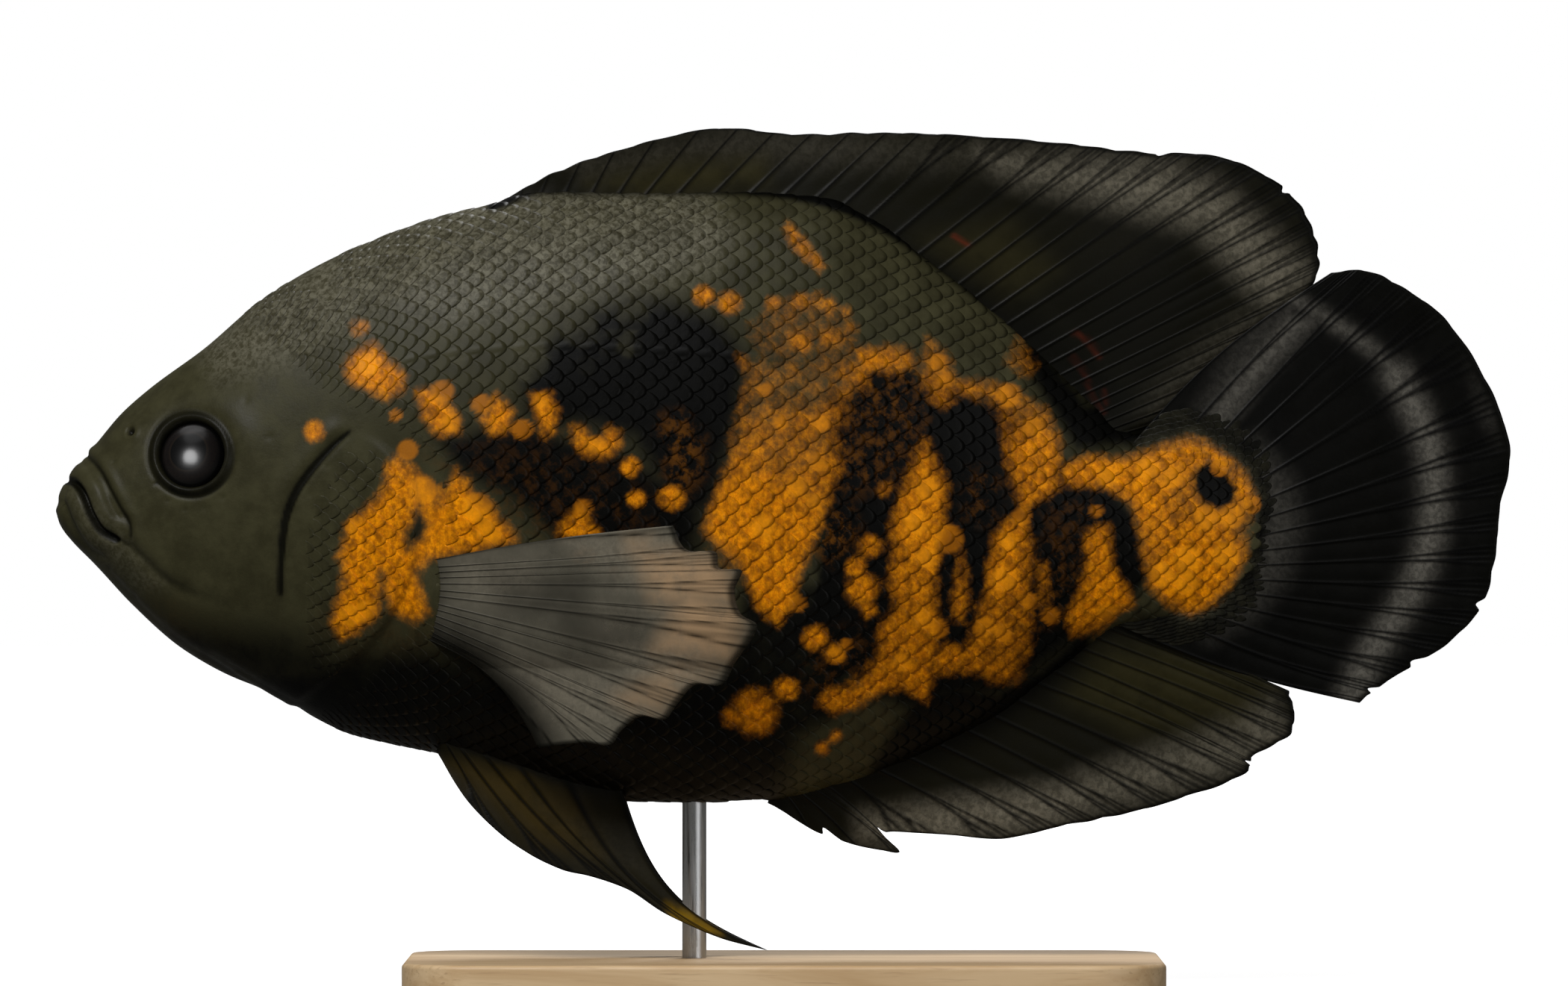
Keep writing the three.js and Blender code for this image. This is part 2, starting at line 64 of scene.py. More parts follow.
SIDE_NAMES = {LEFT: "left", RIGHT: "right"}
rng = np.random.default_rng(31)

# The body's outline and half width, as [place, height] and [place, half width]
BACK = [
    [0, 98.6], [0.8, 101.4], [3.1, 105.7], [7.4, 111], [13.3, 118.2], [19, 123.1], [29.7, 131],
    [42, 141.4], [61.3, 152.4], [86.7, 160.7], [104, 163.2], [142, 163], [158, 162], [168.4, 157.5],
    [184.6, 145.4], [200, 132.5], [213, 119.6], [218, 115], [226, 113.4], [240, 114.5], [256, 118],
]
BELLY = [
    [0, 98], [0.8, 95.4], [3.1, 92.1], [7.4, 87.5], [15, 79.3], [26.7, 69.3], [44, 59.9],
    [61.3, 52], [78, 48.5], [96, 43.2], [108, 39.8], [118, 38.2], [131, 38.2], [146, 39.3],
    [161.5, 42.8], [177, 48.4], [192.3, 56.2], [207.7, 67.3], [218, 74.2], [228, 74.8], [240, 73.5],
    [256, 69],
]
GIRTH = [
    [0, 0.8], [0.6, 3.2], [2, 5.4], [5, 8], [10, 11], [18, 14.3], [28, 17.2], [45, 21], [60, 23.4],
    [75, 24.8], [92, 25], [112, 24.4], [130, 23], [150, 20.4], [170, 17], [190, 13.4], [208, 9.8],
    [220, 7.6], [234, 5.2], [246, 3.7], [256, 3.2],
]
BACK_SHARPNESS = 0.6
BELLY_SHARPNESS = 0.48

# The tail fin's root line, as [height, place]
TAIL_ROOT = [
    [66, 227], [74.5, 232], [83.5, 243], [93, 246.4], [100.5, 244.5], [108.2, 238], [113.2, 229],
    [121, 226],
]

# Lines of the head, as [place, height]
MOUTH = [[-6, 105.6], [2, 104.4], [3.9, 104], [5.9, 102], [7.9, 97.4], [10, 94.2], [14, 91.6]]
SNOUT_FOLD = [[2.5, 112.4], [6.6, 109.4], [9.2, 106.8], [11.4, 103], [13.7, 98.8], [15.8, 95], [15.8, 91]]
JAW_FOLD = [[15.4, 91], [18.6, 88], [22.2, 84.5], [27, 81.6], [33, 79.6], [39, 78.6]]
MANDIBLE = [[8, 88.8], [15, 81], [23, 73.5], [33, 67], [44, 62.5]]
GILL_LINE = [
    [61.8, 115.1], [58.4, 112.4], [54.4, 108.1], [50.5, 102.8], [48.2, 97.4], [47.1, 90], [46.8, 81.5],
    [47.4, 72], [50.2, 63],
]
COVER_MARGIN = [
    [47, 56], [50.2, 59.2], [57.5, 64.2], [66.7, 72.7], [72.2, 82], [74.4, 89.7], [75.2, 97.4],
    [73.8, 105.1], [68.3, 111.2], [61.8, 115.1],
]
NAPE = [[61.8, 115.1], [57, 117.5], [50, 121.5], [43, 127.5], [36, 132], [29, 137]]
THROAT_FOLDS = [
    [[27, 72], [36, 66.5], [46, 60.5], [52, 58]],
    [[27, 70.5], [36, 64.8], [46, 58.8], [53, 55.8]],
    [[28, 69.3], [38, 63.2], [48, 57.2], [54, 54.2]],
]
PORES = [
    [21, 103.8], [23.6, 100.4], [27.2, 98.6], [31.2, 98.8], [35, 101], [12.4, 108.4], [17.6, 119],
    [24.6, 123], [33.4, 126.4], [39.6, 121], [44.6, 113.4], [56.4, 107.4], [52.9, 101.6], [50.6, 95.6],
    [49.6, 88.6], [49.6, 81], [50.2, 73.6], [11, 86.4], [16.4, 80.6], [22.6, 75],
]

EYE_SPOT = (28.4, 109.9)
EYE_RADIUS = 7
EYE_DEPTH = 4
EYE_SINK = 1.6
NOSTRIL_SPOT = (15.8, 114.4)


# Smooth lines and curves

def joined(t, start, leave, end, arrive):
    """A cubic from start to end, which leaves and arrives at the given slopes."""
    return (
        (2 * t**3 - 3 * t**2 + 1) * start
        + (t**3 - 2 * t**2 + t) * leave
        + (3 * t**2 - 2 * t**3) * end
        + (t**3 - t**2) * arrive
    )


def smooth_line(pairs):
    """A smooth function through [at, value] pairs, without overshoot."""
    at, value = np.array(pairs, float).T
    steep = np.diff(value) / np.diff(at)
    before, after = steep[:-1], steep[1:]
    same_way = before * after > 0
    inner = np.where(same_way, 2 * before * after / np.where(same_way, before + after, 1), 0)
    slopes = np.concatenate([steep[:1], inner, steep[-1:]])

    def line(x):
        i = np.clip(np.searchsorted(at, x, side="right") - 1, 0, len(at) - 2)
        span = at[i + 1] - at[i]
        t = np.clip((x - at[i]) / span, 0, 1)
        return joined(t, value[i], span * slopes[i], value[i + 1], span * slopes[i + 1])

    return line


def curve_through(points):
    """A smooth curve through the points, as a function of the share from first to last."""
    knots = np.array(points, float)
    padded = np.vstack([2 * knots[0] - knots[1], knots, 2 * knots[-1] - knots[-2]])

    def curve(share):
        place = np.atleast_1d(share) * (len(knots) - 1)
        i = np.clip(place.astype(int), 0, len(knots) - 2)
        t = (place - i)[:, None]
        p0, p1, p2, p3 = (padded[i + k] for k in range(4))
        d0, d1, d2 = (
            np.maximum(np.linalg.norm(b - a, axis=1), 1e-6)[:, None] ** 0.5
            for a, b in ((p0, p1), (p1, p2), (p2, p3))
        )
        leave = ((p1 - p0) / d0 - (p2 - p0) / (d0 + d1) + (p2 - p1) / d1) * d1
        arrive = ((p2 - p1) / d1 - (p3 - p1) / (d1 + d2) + (p3 - p2) / d2) * d1
        return joined(t, p1, leave, p2, arrive)

    return curve


def smoothstep(low, high, x):
    t = np.clip((x - low) / (high - low), 0, 1)
    return t * t * (3 - 2 * t)


def hump(distance, width):
    return np.exp(-((distance / width) ** 2))


def unit(vectors):
    """The same directions with a length of 1."""
    return vectors / np.maximum(np.linalg.norm(vectors, axis=-1, keepdims=True), 1e-9)


def away_from(place, height, spot):
    return np.hypot(place - spot[0], height - spot[1])


def nearby(place, height, corners, margin):
    """Which spots lie in the box round some corners, and those spots."""
    low, high = corners.min(0) - margin, corners.max(0) + margin
    near = (place > low[0]) & (place < high[0]) & (height > low[1]) & (height < high[1])
    return near, np.column_stack([place[near], height[near]])


def off_stretch(spots, start, along):
    """How far along a straight stretch each spot lies, from 0 to 1, and its offset from it."""
    t = np.clip((spots - start) @ along / (along @ along), 0, 1)
    return t, spots - start - t[:, None] * along


def beside(place, height, line, reach, samples=48):
    """Distance to a line drawn in side view, the share along it, and which side of it."""
    path = curve_through(line)(np.linspace(0, 1, samples))
    near, spots = nearby(place, height, path, reach)
    best = np.full(len(spots), float(reach))
    share, left = np.zeros(len(spots)), np.ones(len(spots))
    for i, (start, along) in enumerate(zip(path, np.diff(path, axis=0))):
        t, off = off_stretch(spots, start, along)
        distance = np.hypot(off[:, 0], off[:, 1])
        closer = distance < best
        best[closer] = distance[closer]
        share[closer] = (i + t[closer]) / (samples - 1)
        left[closer] = np.sign(along[0] * off[closer, 1] - along[1] * off[closer, 0])
    found = [np.full(len(place), float(reach)), np.zeros(len(place)), np.ones(len(place))]
    for whole, part in zip(found, (best, share, left)):
        whole[near] = part
    return found


def within(place, height, outline, soft):
    """1 well inside a closed outline in side view, 0 well outside it, soft at the edge."""
    corners = np.array(outline, float)
    near, spots = nearby(place, height, corners, soft)
    distance = np.full(len(spots), 1e9)
    inside = np.zeros(len(spots), bool)
    for start, end in zip(corners, np.roll(corners, -1, axis=0)):
        along = end - start
        off = off_stretch(spots, start, along)[1]
        distance = np.minimum(distance, np.hypot(off[:, 0], off[:, 1]))
        if start[1] != end[1]:
            crossing = start[0] + (spots[:, 1] - start[1]) * along[0] / along[1]
            between = (start[1] > spots[:, 1]) != (end[1] > spots[:, 1])
            inside ^= between & (spots[:, 0] < crossing)
    mask = np.zeros(len(place))
    mask[near] = smoothstep(-soft, soft, np.where(inside, distance, -distance))
    return mask


def strongest(place, height, areas):
    """The highest strength at each spot among areas, as (strength, softness, outline)."""
    found = np.zeros(len(place))
    for strength, soft, outline in areas:
        found = np.maximum(found, strength * within(place, height, outline, soft))
    return found


# The body's surface

back_height = smooth_line(BACK)
belly_height = smooth_line(BELLY)
girth = smooth_line(GIRTH)
tail_root_place = smooth_line(TAIL_ROOT)
HEAD_END, STEM_START = 79, 216
ring_places = np.concatenate([
    HEAD_END * np.linspace(0, 1, 204)[:-1] ** 1.5,
    np.linspace(HEAD_END, STEM_START, 70)[:-1],
    np.linspace(STEM_START, BODY_END, 38),
])
RINGS = len(ring_places)
HALF_STEPS = 155


def width_share(down):
    """Share of the full width at a share of the way down from back to belly."""
    down = np.clip(down, 0, 1)
    peak = BACK_SHARPNESS / (BACK_SHARPNESS + BELLY_SHARPNESS)
    most = peak**BACK_SHARPNESS * (1 - peak) ** BELLY_SHARPNESS
    return down**BACK_SHARPNESS * (1 - down) ** BELLY_SHARPNESS / most


def even_ring_steps():
    """For each ring, how far down it is at even steps along its skin, and its half length."""
    fine = (1 - np.cos(np.linspace(0, np.pi, 500))) / 2
    even = np.linspace(0, 1, HALF_STEPS + 1)
    rows, lengths = [], []
    for place in ring_places:
        top, bottom = back_height(place), belly_height(place)
        step = np.hypot(np.diff(top + (bottom - top) * fine), np.diff(girth(place) * width_share(fine)))
        length = np.concatenate([[0], np.cumsum(step)])
        rows.append(np.interp(even * length[-1], length, fine))
        lengths.append(length[-1])
    return np.array(rows), np.array(lengths)


down_table, half_lengths = even_ring_steps()


def half_length(place):
    """Length along the skin from the back to the belly."""
    return np.interp(place, ring_places, half_lengths)


def down_at(place, share):
    """How far down the ring at a place is, at a share of its half length."""
    ring = np.interp(place, ring_places, np.arange(RINGS))
    step = np.clip(share, 0, 1) * HALF_STEPS
    i = np.minimum(ring.astype(int), RINGS - 2)
    j = np.minimum(step.astype(int), HALF_STEPS - 1)
    a, b = ring - i, step - j
    upper = down_table[i, j] * (1 - b) + down_table[i, j + 1] * b
    lower = down_table[i + 1, j] * (1 - b) + down_table[i + 1, j + 1] * b
    return upper * (1 - a) + lower * a


def half_width(place, height, closing=False):
    """Half the body's width, which thins into the tail fin and may close behind its root."""
    top = back_height(place)
    side = girth(place) * width_share((top - height) / (top - belly_height(place)))
    past = place - tail_root_place(height)
    side = side * (1 - 0.22 * smoothstep(-12, 0, past))
    if closing:
        side = side * (1 - 0.92 * smoothstep(0.3, 2.2, past))
    return side


def smooth_spot(place, turn):
    """A spot on the smooth body. turn goes from the back (0) down the left side to the
    belly (1) and up the right side to the back (2)."""
    turn = np.mod(turn, 2)
    share = np.where(turn < 1, turn, 2 - turn)
    side = np.where(turn < 1, LEFT, RIGHT)
    top = back_height(place)
    height = top + (belly_height(place) - top) * down_at(place, share)
    return np.column_stack([place, side * half_width(place, height), height])


def outward_at(place, turn):
    """The direction straight out of the smooth body."""
    step = 0.4
    turn_step = step / half_length(place)
    along = smooth_spot(place + step, turn) - smooth_spot(place - step, turn)
    around = smooth_spot(place, turn + turn_step) - smooth_spot(place, turn - turn_step)
    out = unit(np.cross(around, along))
    turn = np.mod(turn, 2)
    wrong = np.sign(out[:, 1]) * np.where(turn < 1, LEFT, RIGHT) < 0
    out[wrong & (np.abs(out[:, 1]) > 0.3)] *= -1
    return out


# Relief of the skin: lips, folds, orbits, nostrils, gill covers and fin bases

# Plain creases of the head: line, reach, the shares over which it fades in and out, depth
# and width, height, offset and width of the swelling beside it, strength and width of its painted shade
CREASES = [
    (SNOUT_FOLD, 4, (0, 0.15), (0.9, 1), (0.55, 0.5), (0.35, 1.4, 1.1), (0.75, 0.42)),
    (JAW_FOLD, 6, (-1, 0), (0.35, 1), (0.55, 1), (0.4, 2.6, 2), (0.3, 0.7)),
    (MANDIBLE, 4, (0, 0.2), (0.8, 1), (0.35, 0.8), (0, 0, 1), (0.2, 0.6)),
    *[(line, 3, (0, 0.3), (0.8, 1), (0.4, 0.5), (0, 0, 1), (0.35, 0.45)) for line in THROAT_FOLDS],
]
PECTORAL_BASE = (77.2, 80.3)


def fading(share, start, end):
    """1 along the middle of a line, fading over the shares given for its start and end."""
    return smoothstep(*start, share) * (1 - smoothstep(*end, share))


def pelvic_offset(place):
    """How far from the middle a pelvic fin's root lies."""
    return 8.6 - 5 * smoothstep(80, 118, place)


def before_tail(place, height):
    """1 on the body, fading to 0 just in front of the tail fin's root."""
    return 1 - smoothstep(-6, -1, place - tail_root_place(height))


def relief(place, height, across):
    """How far the skin stands proud of the smooth body, and its painted shade in creases and pits."""
    rise = np.zeros(len(place))
    # Painted shade in the mouth, creases, gill slit, orbit, nostril, pores and at the pectoral fin's root
    fold = np.zeros(len(place))

    distance, share, left = beside(place, height, MOUTH, 9)
    signed = distance * left
    lip_fade = (0.3 + 0.7 * smoothstep(0.22, 0.5, share)) * (1 - smoothstep(0.82, 1.0, share))
    upper_lip = np.clip(1 - ((signed - 2.0) / 2.0) ** 2, 0, 1) ** 0.7
    lower_lip = np.clip(1 - ((signed + 2.1) / 2.1) ** 2, 0, 1) ** 0.7
    rise += (0.8 * upper_lip + 0.85 * lower_lip) * lip_fade
    rise -= (0.45 * hump(signed + 4.9, 0.8) + 0.4 * hump(signed - 4.6, 0.8)) * lip_fade
    mouth_end = 1 - smoothstep(0.94, 1.0, share)
    rise -= 1.25 * hump(distance, 0.62) * mouth_end * (0.4 + 0.6 * smoothstep(0.15, 0.4, share))
    fold += 1.3 * hump(distance - 0.1, 0.72) * mouth_end

    for line, reach, start, end, crease, swelling, shade in CREASES:
        distance, share, left = beside(place, height, line, reach)
        ends = fading(share, start, end)
        rise -= crease[0] * hump(distance, crease[1]) * ends
        rise += swelling[0] * hump(distance * left - swelling[1], swelling[2]) * ends
        fold += shade[0] * hump(distance, shade[1]) * ends

    distance, share, left = beside(place, height, GILL_LINE, 7)
    ends = fading(share, (0, 0.12), (0.86, 1)) * (1 - 0.8 * smoothstep(0.66, 0.8, share))
    rise -= 0.8 * hump(distance, 0.75) * ends
    rise += 0.4 * hump(distance * left + 2.4, 1.9) * ends
    # The dark line of the gill slit is painted shade
    thick = 0.2 + 0.42 * smoothstep(0, 0.35, share) - 0.2 * smoothstep(0.45, 0.75, share)
    drawn = smoothstep(thick + 0.4, thick - 0.15, distance) * smoothstep(0.775, 0.745, share)
    fold += 1.2 * drawn * smoothstep(0, 0.03, share)

    distance, share, left = beside(place, height, COVER_MARGIN, 9)
    signed = distance * left
    ends = fading(share, (0, 0.12), (0.78, 1))
    rise += 0.62 * np.exp(-np.abs(signed) / 4.5) * np.tanh(signed / 0.55) * ends
    rise -= 0.15 * hump(signed - 2.6, 0.5) * ends
    fold += 0.55 * hump(signed + 0.35, 0.45) * ends

    from_eye = away_from(place, height, EYE_SPOT)
    rise += 0.8 * hump(from_eye - 7.55, 0.65)
    rise -= 0.4 * hump(from_eye - 8.95, 0.32)
    rise += 0.4 * hump(from_eye - 11.5, 3) * smoothstep(-4, 6, height - EYE_SPOT[1])
    rise -= 3.4 * (1 - smoothstep(5.7, 7.0, from_eye))
    fold += 0.7 * hump(from_eye - 8.95, 0.35) + smoothstep(7.1, 6.3, from_eye)

    from_nostril = away_from(place, height, NOSTRIL_SPOT)
    rise += 0.3 * hump(from_nostril - 1.35, 0.5) - 1.1 * (1 - smoothstep(0.35, 1.0, from_nostril))
    fold += 1 - smoothstep(0.45, 0.95, from_nostril)

    for spot in PORES:
        from_pore = away_from(place, height, spot)
        rise -= 0.24 * hump(from_pore, 0.5)
        fold += 0.55 * hump(from_pore, 0.4)

    on_back = smoothstep(88, 96, place) * (1 - smoothstep(214, 220, place)) * (height > 108)
    on_belly = smoothstep(142, 148, place) * (1 - smoothstep(213, 219, place)) * (height < 90)
    rise += 0.9 * hump(across, 2.8) * (on_back + on_belly)

    rise += 1.7 * hump(place - PECTORAL_BASE[0], 3.6) * hump(height - PECTORAL_BASE[1], 8.6)
    fold += 0.35 * hump(place - 81.5, 1.6) * hump(height - 80, 8)
    pelvic_base = hump(across - pelvic_offset(place), 2.4)
    pelvic_base *= smoothstep(76, 80, place) * (1 - smoothstep(112, 118, place))
    rise += 0.9 * pelvic_base * (height < belly_height(place) + 14)

    muscle = np.sin(place / 6.1 + 0.7) * np.sin(height / 7.3) + 0.6 * np.sin(place / 11 - height / 9)
    rise += 0.14 * muscle
    return rise, np.clip(fold, 0, 1)


# Markings

# The orange, as [place, height] outlines
ORANGE_PATCHES = {
    "shoulder": [
        [70.8, 109.4], [74.1, 107.2], [76.3, 105], [78.8, 102.8], [79.9, 100.3], [81.2, 103.3],
        [82.9, 106.6], [85.1, 104.4], [86.7, 101.1], [90.1, 99.5], [91.7, 96.7], [94.5, 94.5],
        [95, 92.3], [90.1, 90.6], [83.4, 89.5], [77.9, 88.4], [74.6, 85.7], [76.3, 81.3],
        [77.1, 77.4], [74.1, 75.5], [70.2, 77.4], [68.4, 81.3], [67.7, 85.6], [67.3, 82.9],
        [66.8, 77.4], [62.5, 73.4], [59, 72.2], [57.4, 75.2], [58.2, 79.1], [59.8, 83.5],
        [59.4, 87.9], [58.7, 89], [60.1, 92.3], [60.6, 95.6], [63.1, 97.8], [66.4, 100.6],
        [68.3, 103.9], [68.6, 107.2],
    ],
    "nape": [
        [65.8, 132.7], [69.1, 129.2], [72.4, 125.9], [71.9, 123.1], [69.1, 120.9], [65.3, 122.6],
        [60.9, 124.8], [60.1, 128.1], [62, 130.8],
    ],
    "second": [
        [74.9, 122.6], [77.9, 123.1], [80.7, 120.9], [83.4, 117.6], [83.4, 114.3], [79.6, 113.2],
        [76.3, 117.1],
    ],
    "third": [[91.2, 122], [94.5, 118.7], [93.4, 114.9], [90.1, 113.8], [88.1, 117.1]],
    "fourth": [
        [98.3, 122], [102.2, 122], [103.8, 118.7], [102.7, 114.3], [100.5, 113.2], [99.4, 117.6],
    ],
    "notched": [
        [106.6, 115.4], [108.8, 115.4], [110.1, 113.2], [113.2, 113.2], [114.3, 115.4],
        [116.2, 114.3], [116.5, 111.6], [114.3, 109.4], [109.9, 109.4], [107.4, 111.6],
    ],
    "dome": [[108.5, 98.9], [110.1, 96.7], [112.9, 93.1], [108.8, 92.3], [103.8, 92.6], [104.6, 95.6]],
    "central": [
        [140.5, 130.1], [142.7, 125.9], [140.7, 119.7], [138.5, 113.5], [138.9, 108.8],
        [135, 99.3], [133.4, 93], [134.6, 88], [138, 84], [141.6, 81.8], [144.4, 78.2],
        [149, 74.8], [151.6, 79], [153.4, 85.1], [156.6, 93], [159.5, 100.9], [161.8, 107.2],
        [161.8, 113.5], [163.4, 119.9], [167.4, 124.6], [166.6, 127.8], [160.7, 130.1],
        [151.6, 129], [144.5, 128.6],
    ],
    "upper_band": [
        [164.2, 131.7], [170.5, 132.1], [176.1, 131.3], [176.5, 127.8], [172.1, 126.2], [165.4, 126.6],
    ],
    "arch": [
        [179.2, 134.1], [184, 130.9], [185.6, 125.4], [193.5, 124.6], [199, 122.2], [204.5, 118.3],
        [206.9, 112], [206, 102.6], [199, 98.4], [196.8, 104.1], [195.8, 108.8],
        [194.2, 115.9], [191.1, 120.7], [186.3, 122.2], [183.2, 119.5], [180.8, 119.9],
        [178.4, 123], [177.7, 126.2],
    ],
    "leaf": [
        [179, 112.8], [181.8, 108.8], [184, 103.3], [183.4, 97], [184, 94.6], [182.6, 91.4],
        [182.4, 89.1], [181.2, 83.5], [181.6, 77.2], [181.2, 70.9], [180.8, 64.6], [179.2, 59],
        [174.5, 61.8], [169.7, 61], [165, 58.2], [160.3, 56.7], [157.1, 59], [158.7, 62.2],
        [162.6, 62.2], [166.2, 64.6], [168.6, 69.3], [170, 74.8], [172.6, 78.8], [171.4, 85.1],
        [172.6, 89.8], [171.8, 95.4], [173.6, 100.1], [175, 107.2],
    ],
    "wide_column": [
        [195.8, 96.2], [199.4, 96.6], [200.6, 93], [201, 86.7], [200.8, 81.2], [201.6, 74.8],
        [200.6, 69.3], [198.2, 62.8], [193.5, 62.6], [189.5, 64.6], [184, 65], [180.4, 64.6],
        [181.2, 70.9], [187.1, 70.9], [189.1, 74.8], [189.9, 78], [191.9, 81.9], [191.9, 86.7],
        [193.1, 93],
    ],
    "rear_column": [
        [214.4, 95.4], [211.6, 92.2], [212.4, 87.5], [210.8, 81.9], [208, 77.2], [209.2, 72.6],
        [214.8, 74], [217.9, 77.2], [222.1, 78.8], [220.6, 82.7], [217.6, 86.7], [217.4, 91.4],
        [216.4, 95.4],
    ],
    "tail_stem": [
        [207.3, 107.2], [212.4, 109.6], [219.5, 108.8], [225.9, 111.2], [233.8, 113.5],
        [239.3, 111.2], [244.8, 106.4], [247.2, 100.9], [245.6, 94.6], [245.6, 89.1],
        [242.4, 83.5], [238.5, 78.8], [233.8, 76.8], [229, 78.8], [225.1, 82.7], [223.5, 89.1],
        [222.7, 95.4], [221.1, 100.1], [217.2, 102.5], [212.4, 103.3], [207.7, 103.7],
    ],
}
# Fainter orange, as (strength, outline)
FAINT_ORANGE = {
    "streak": (0.72, [
        [150.6, 158], [154.6, 154.4], [159, 148.4], [157, 146.8], [152.4, 151.2], [149.4, 156],
    ]),
    "rear_stroke": (0.42, [[197.4, 134.9], [202.9, 128.6], [202.1, 125.4], [198.2, 124.6], [194.2, 128.6]]),
    "thin_column": (0.68, [
        [186.4, 92.2], [188, 86.7], [188.1, 80.4], [187, 74.8], [184.2, 75.6], [184, 89.8],
    ]),
    "fourth_edge": (0.6, [[200.5, 89], [204.8, 88], [205.4, 79], [201.5, 77]]),
    "mottled_top": (0.5, [[146, 142], [158, 144], [165, 137], [166, 129], [146, 127], [142, 134]]),
}
# Dim brown flecks on the dark ground, as (strength, softness, outline)
FLECKED_AREAS = [
    (0.62, 4, [[162, 128], [178, 127], [179, 116], [173, 104], [163, 102], [158, 112]]),
    (0.2, 6, [[78, 110], [100, 112], [118, 104], [124, 94], [100, 91], [82, 99]]),
    (0.3, 4, [[156, 72], [166, 74], [172, 66], [164, 58], [154, 62]]),
    (0.3, 3, [[203, 101], [214, 101], [214, 84], [204, 78]]),
    (0.8, 3, [[125, 117], [129, 118], [133, 113], [133, 106], [129, 101], [126, 106]]),
    (0.9, 3, [[157, 98], [163, 99], [165, 93], [160, 88], [156, 91]]),
    (0.6, 3, [[203.5, 91], [208, 92], [208, 77], [203.5, 75]]),
    (0.5, 3, [[188, 106], [194, 106], [193, 96], [187, 97]]),
]
# Parts of the orange that are broken up by the darker ground, and painted shadow beside the
# pectoral fin, as (strength, softness, outline)
MOTTLED_AREAS = [
    (0.6, 4, [[143, 130], [162, 130], [168, 121], [160, 118], [150, 118], [142, 119]]),
    (0.34, 3, [[156, 117], [163, 117], [162, 109], [156, 109]]),
    # Painted shadow cast by the pectoral fin on the flank, beside its rear edge
    (0.6, 2, [
        [131, 93.5], [138, 91.5], [143, 85], [143.6, 77], [140.6, 73], [137.6, 76], [137.6, 81], [134, 88],
    ]),
    (0.36, 2.4, [[137, 117], [143, 117], [143, 110], [138, 110]]),
    (0.2, 3, [[191, 122], [200, 122], [200, 114], [191, 114]]),
    (0.5, 2.2, [[181.6, 93], [186, 93], [186, 84], [182.6, 84]]),
    (0.22, 3, [[190, 80], [200, 80], [200, 66], [190, 68]]),
    (0.2, 3, [[228, 106], [235, 106], [235, 96], [229, 96]]),
    (0.25, 3, [[172, 112], [181, 110], [180, 103], [173, 103]]),
    (0.2, 3, [[70, 105], [80, 105], [79, 97], [72, 97]]),
    (0.3, 4, [[140, 142], [168, 141], [168, 132], [141, 131]]),
    (0.22, 4, [[137, 121], [146, 121], [157, 109], [148, 104], [139, 104]]),
    (0.36, 3, [[179, 135], [186, 133], [186, 121], [180, 121]]),
    (0.32, 2.5, [[241, 99], [247, 101], [246, 90], [242, 88]]),
    (0.3, 5, [[142, 120], [164, 118], [160, 100], [154, 98], [146, 106]]),
    (0.2, 4, [[168, 134], [186, 134], [192, 122], [180, 119], [168, 125]]),
    (0.3, 4, [[190, 125], [200, 125], [203, 114], [190, 116]]),
    (0.17, 4, [[222, 112], [236, 113], [244, 106], [244, 92], [228, 98]]),
    (0.3, 4, [[174, 92], [182, 84], [181, 66], [168, 60], [160, 60], [170, 74]]),
    (0.3, 4, [[184, 72], [192, 76], [200, 96], [204, 80], [200, 60], [184, 62]]),
    (0.22, 3, [[192, 122], [206, 118], [206, 104], [198, 102]]),
    (0.2, 4, [[222, 84], [230, 84], [230, 98], [224, 98]]),
    (0.3, 3, [[180, 112], [187, 104], [188, 94], [182, 94]]),
]
# Small spots of orange, as [place, height, radius, strength]
ORANGE_SPOTS = [
    [62.9, 135.7, 2.2, 0.55], [53.9, 114.5, 2.2, 0.85], [118.6, 107.2, 1.9, 1], [119.7, 100.6, 1.8, 0.9],
    [127, 100.9, 2.4, 1], [133.4, 142.4, 2, 0.9], [139, 140.8, 2.4, 0.9], [143.6, 136.5, 1.8, 0.5],
    [147.9, 140.5, 2, 0.8], [153.5, 140.8, 2.2, 0.8], [159, 140, 2.2, 0.8], [162.6, 138.8, 1.8, 0.75],
    [153.2, 133.3, 3.1, 0.9], [159.5, 134, 3.1, 0.85], [163.8, 135.9, 1.8, 0.7], [150.4, 61.8, 2.3, 0.95],
    [144, 57, 4.2, 1], [139.4, 56, 2.2, 0.75], [157.9, 49.6, 1.6, 0.75], [160.7, 52.1, 1.5, 0.7],
    [156.3, 72.2, 2.4, 0.9], [160.4, 69.2, 2, 0.75], [167.8, 91, 2.2, 0.85], [164.6, 86.7, 2, 0.9],
    [166, 82, 3.1, 0.9], [167.3, 78.1, 2, 0.7], [170.6, 102.6, 1.9, 0.6], [116, 85.8, 1.8, 0.8],
    [121.4, 85.8, 1.4, 0.8], [109.1, 88.9, 2.3, 0.8],
]
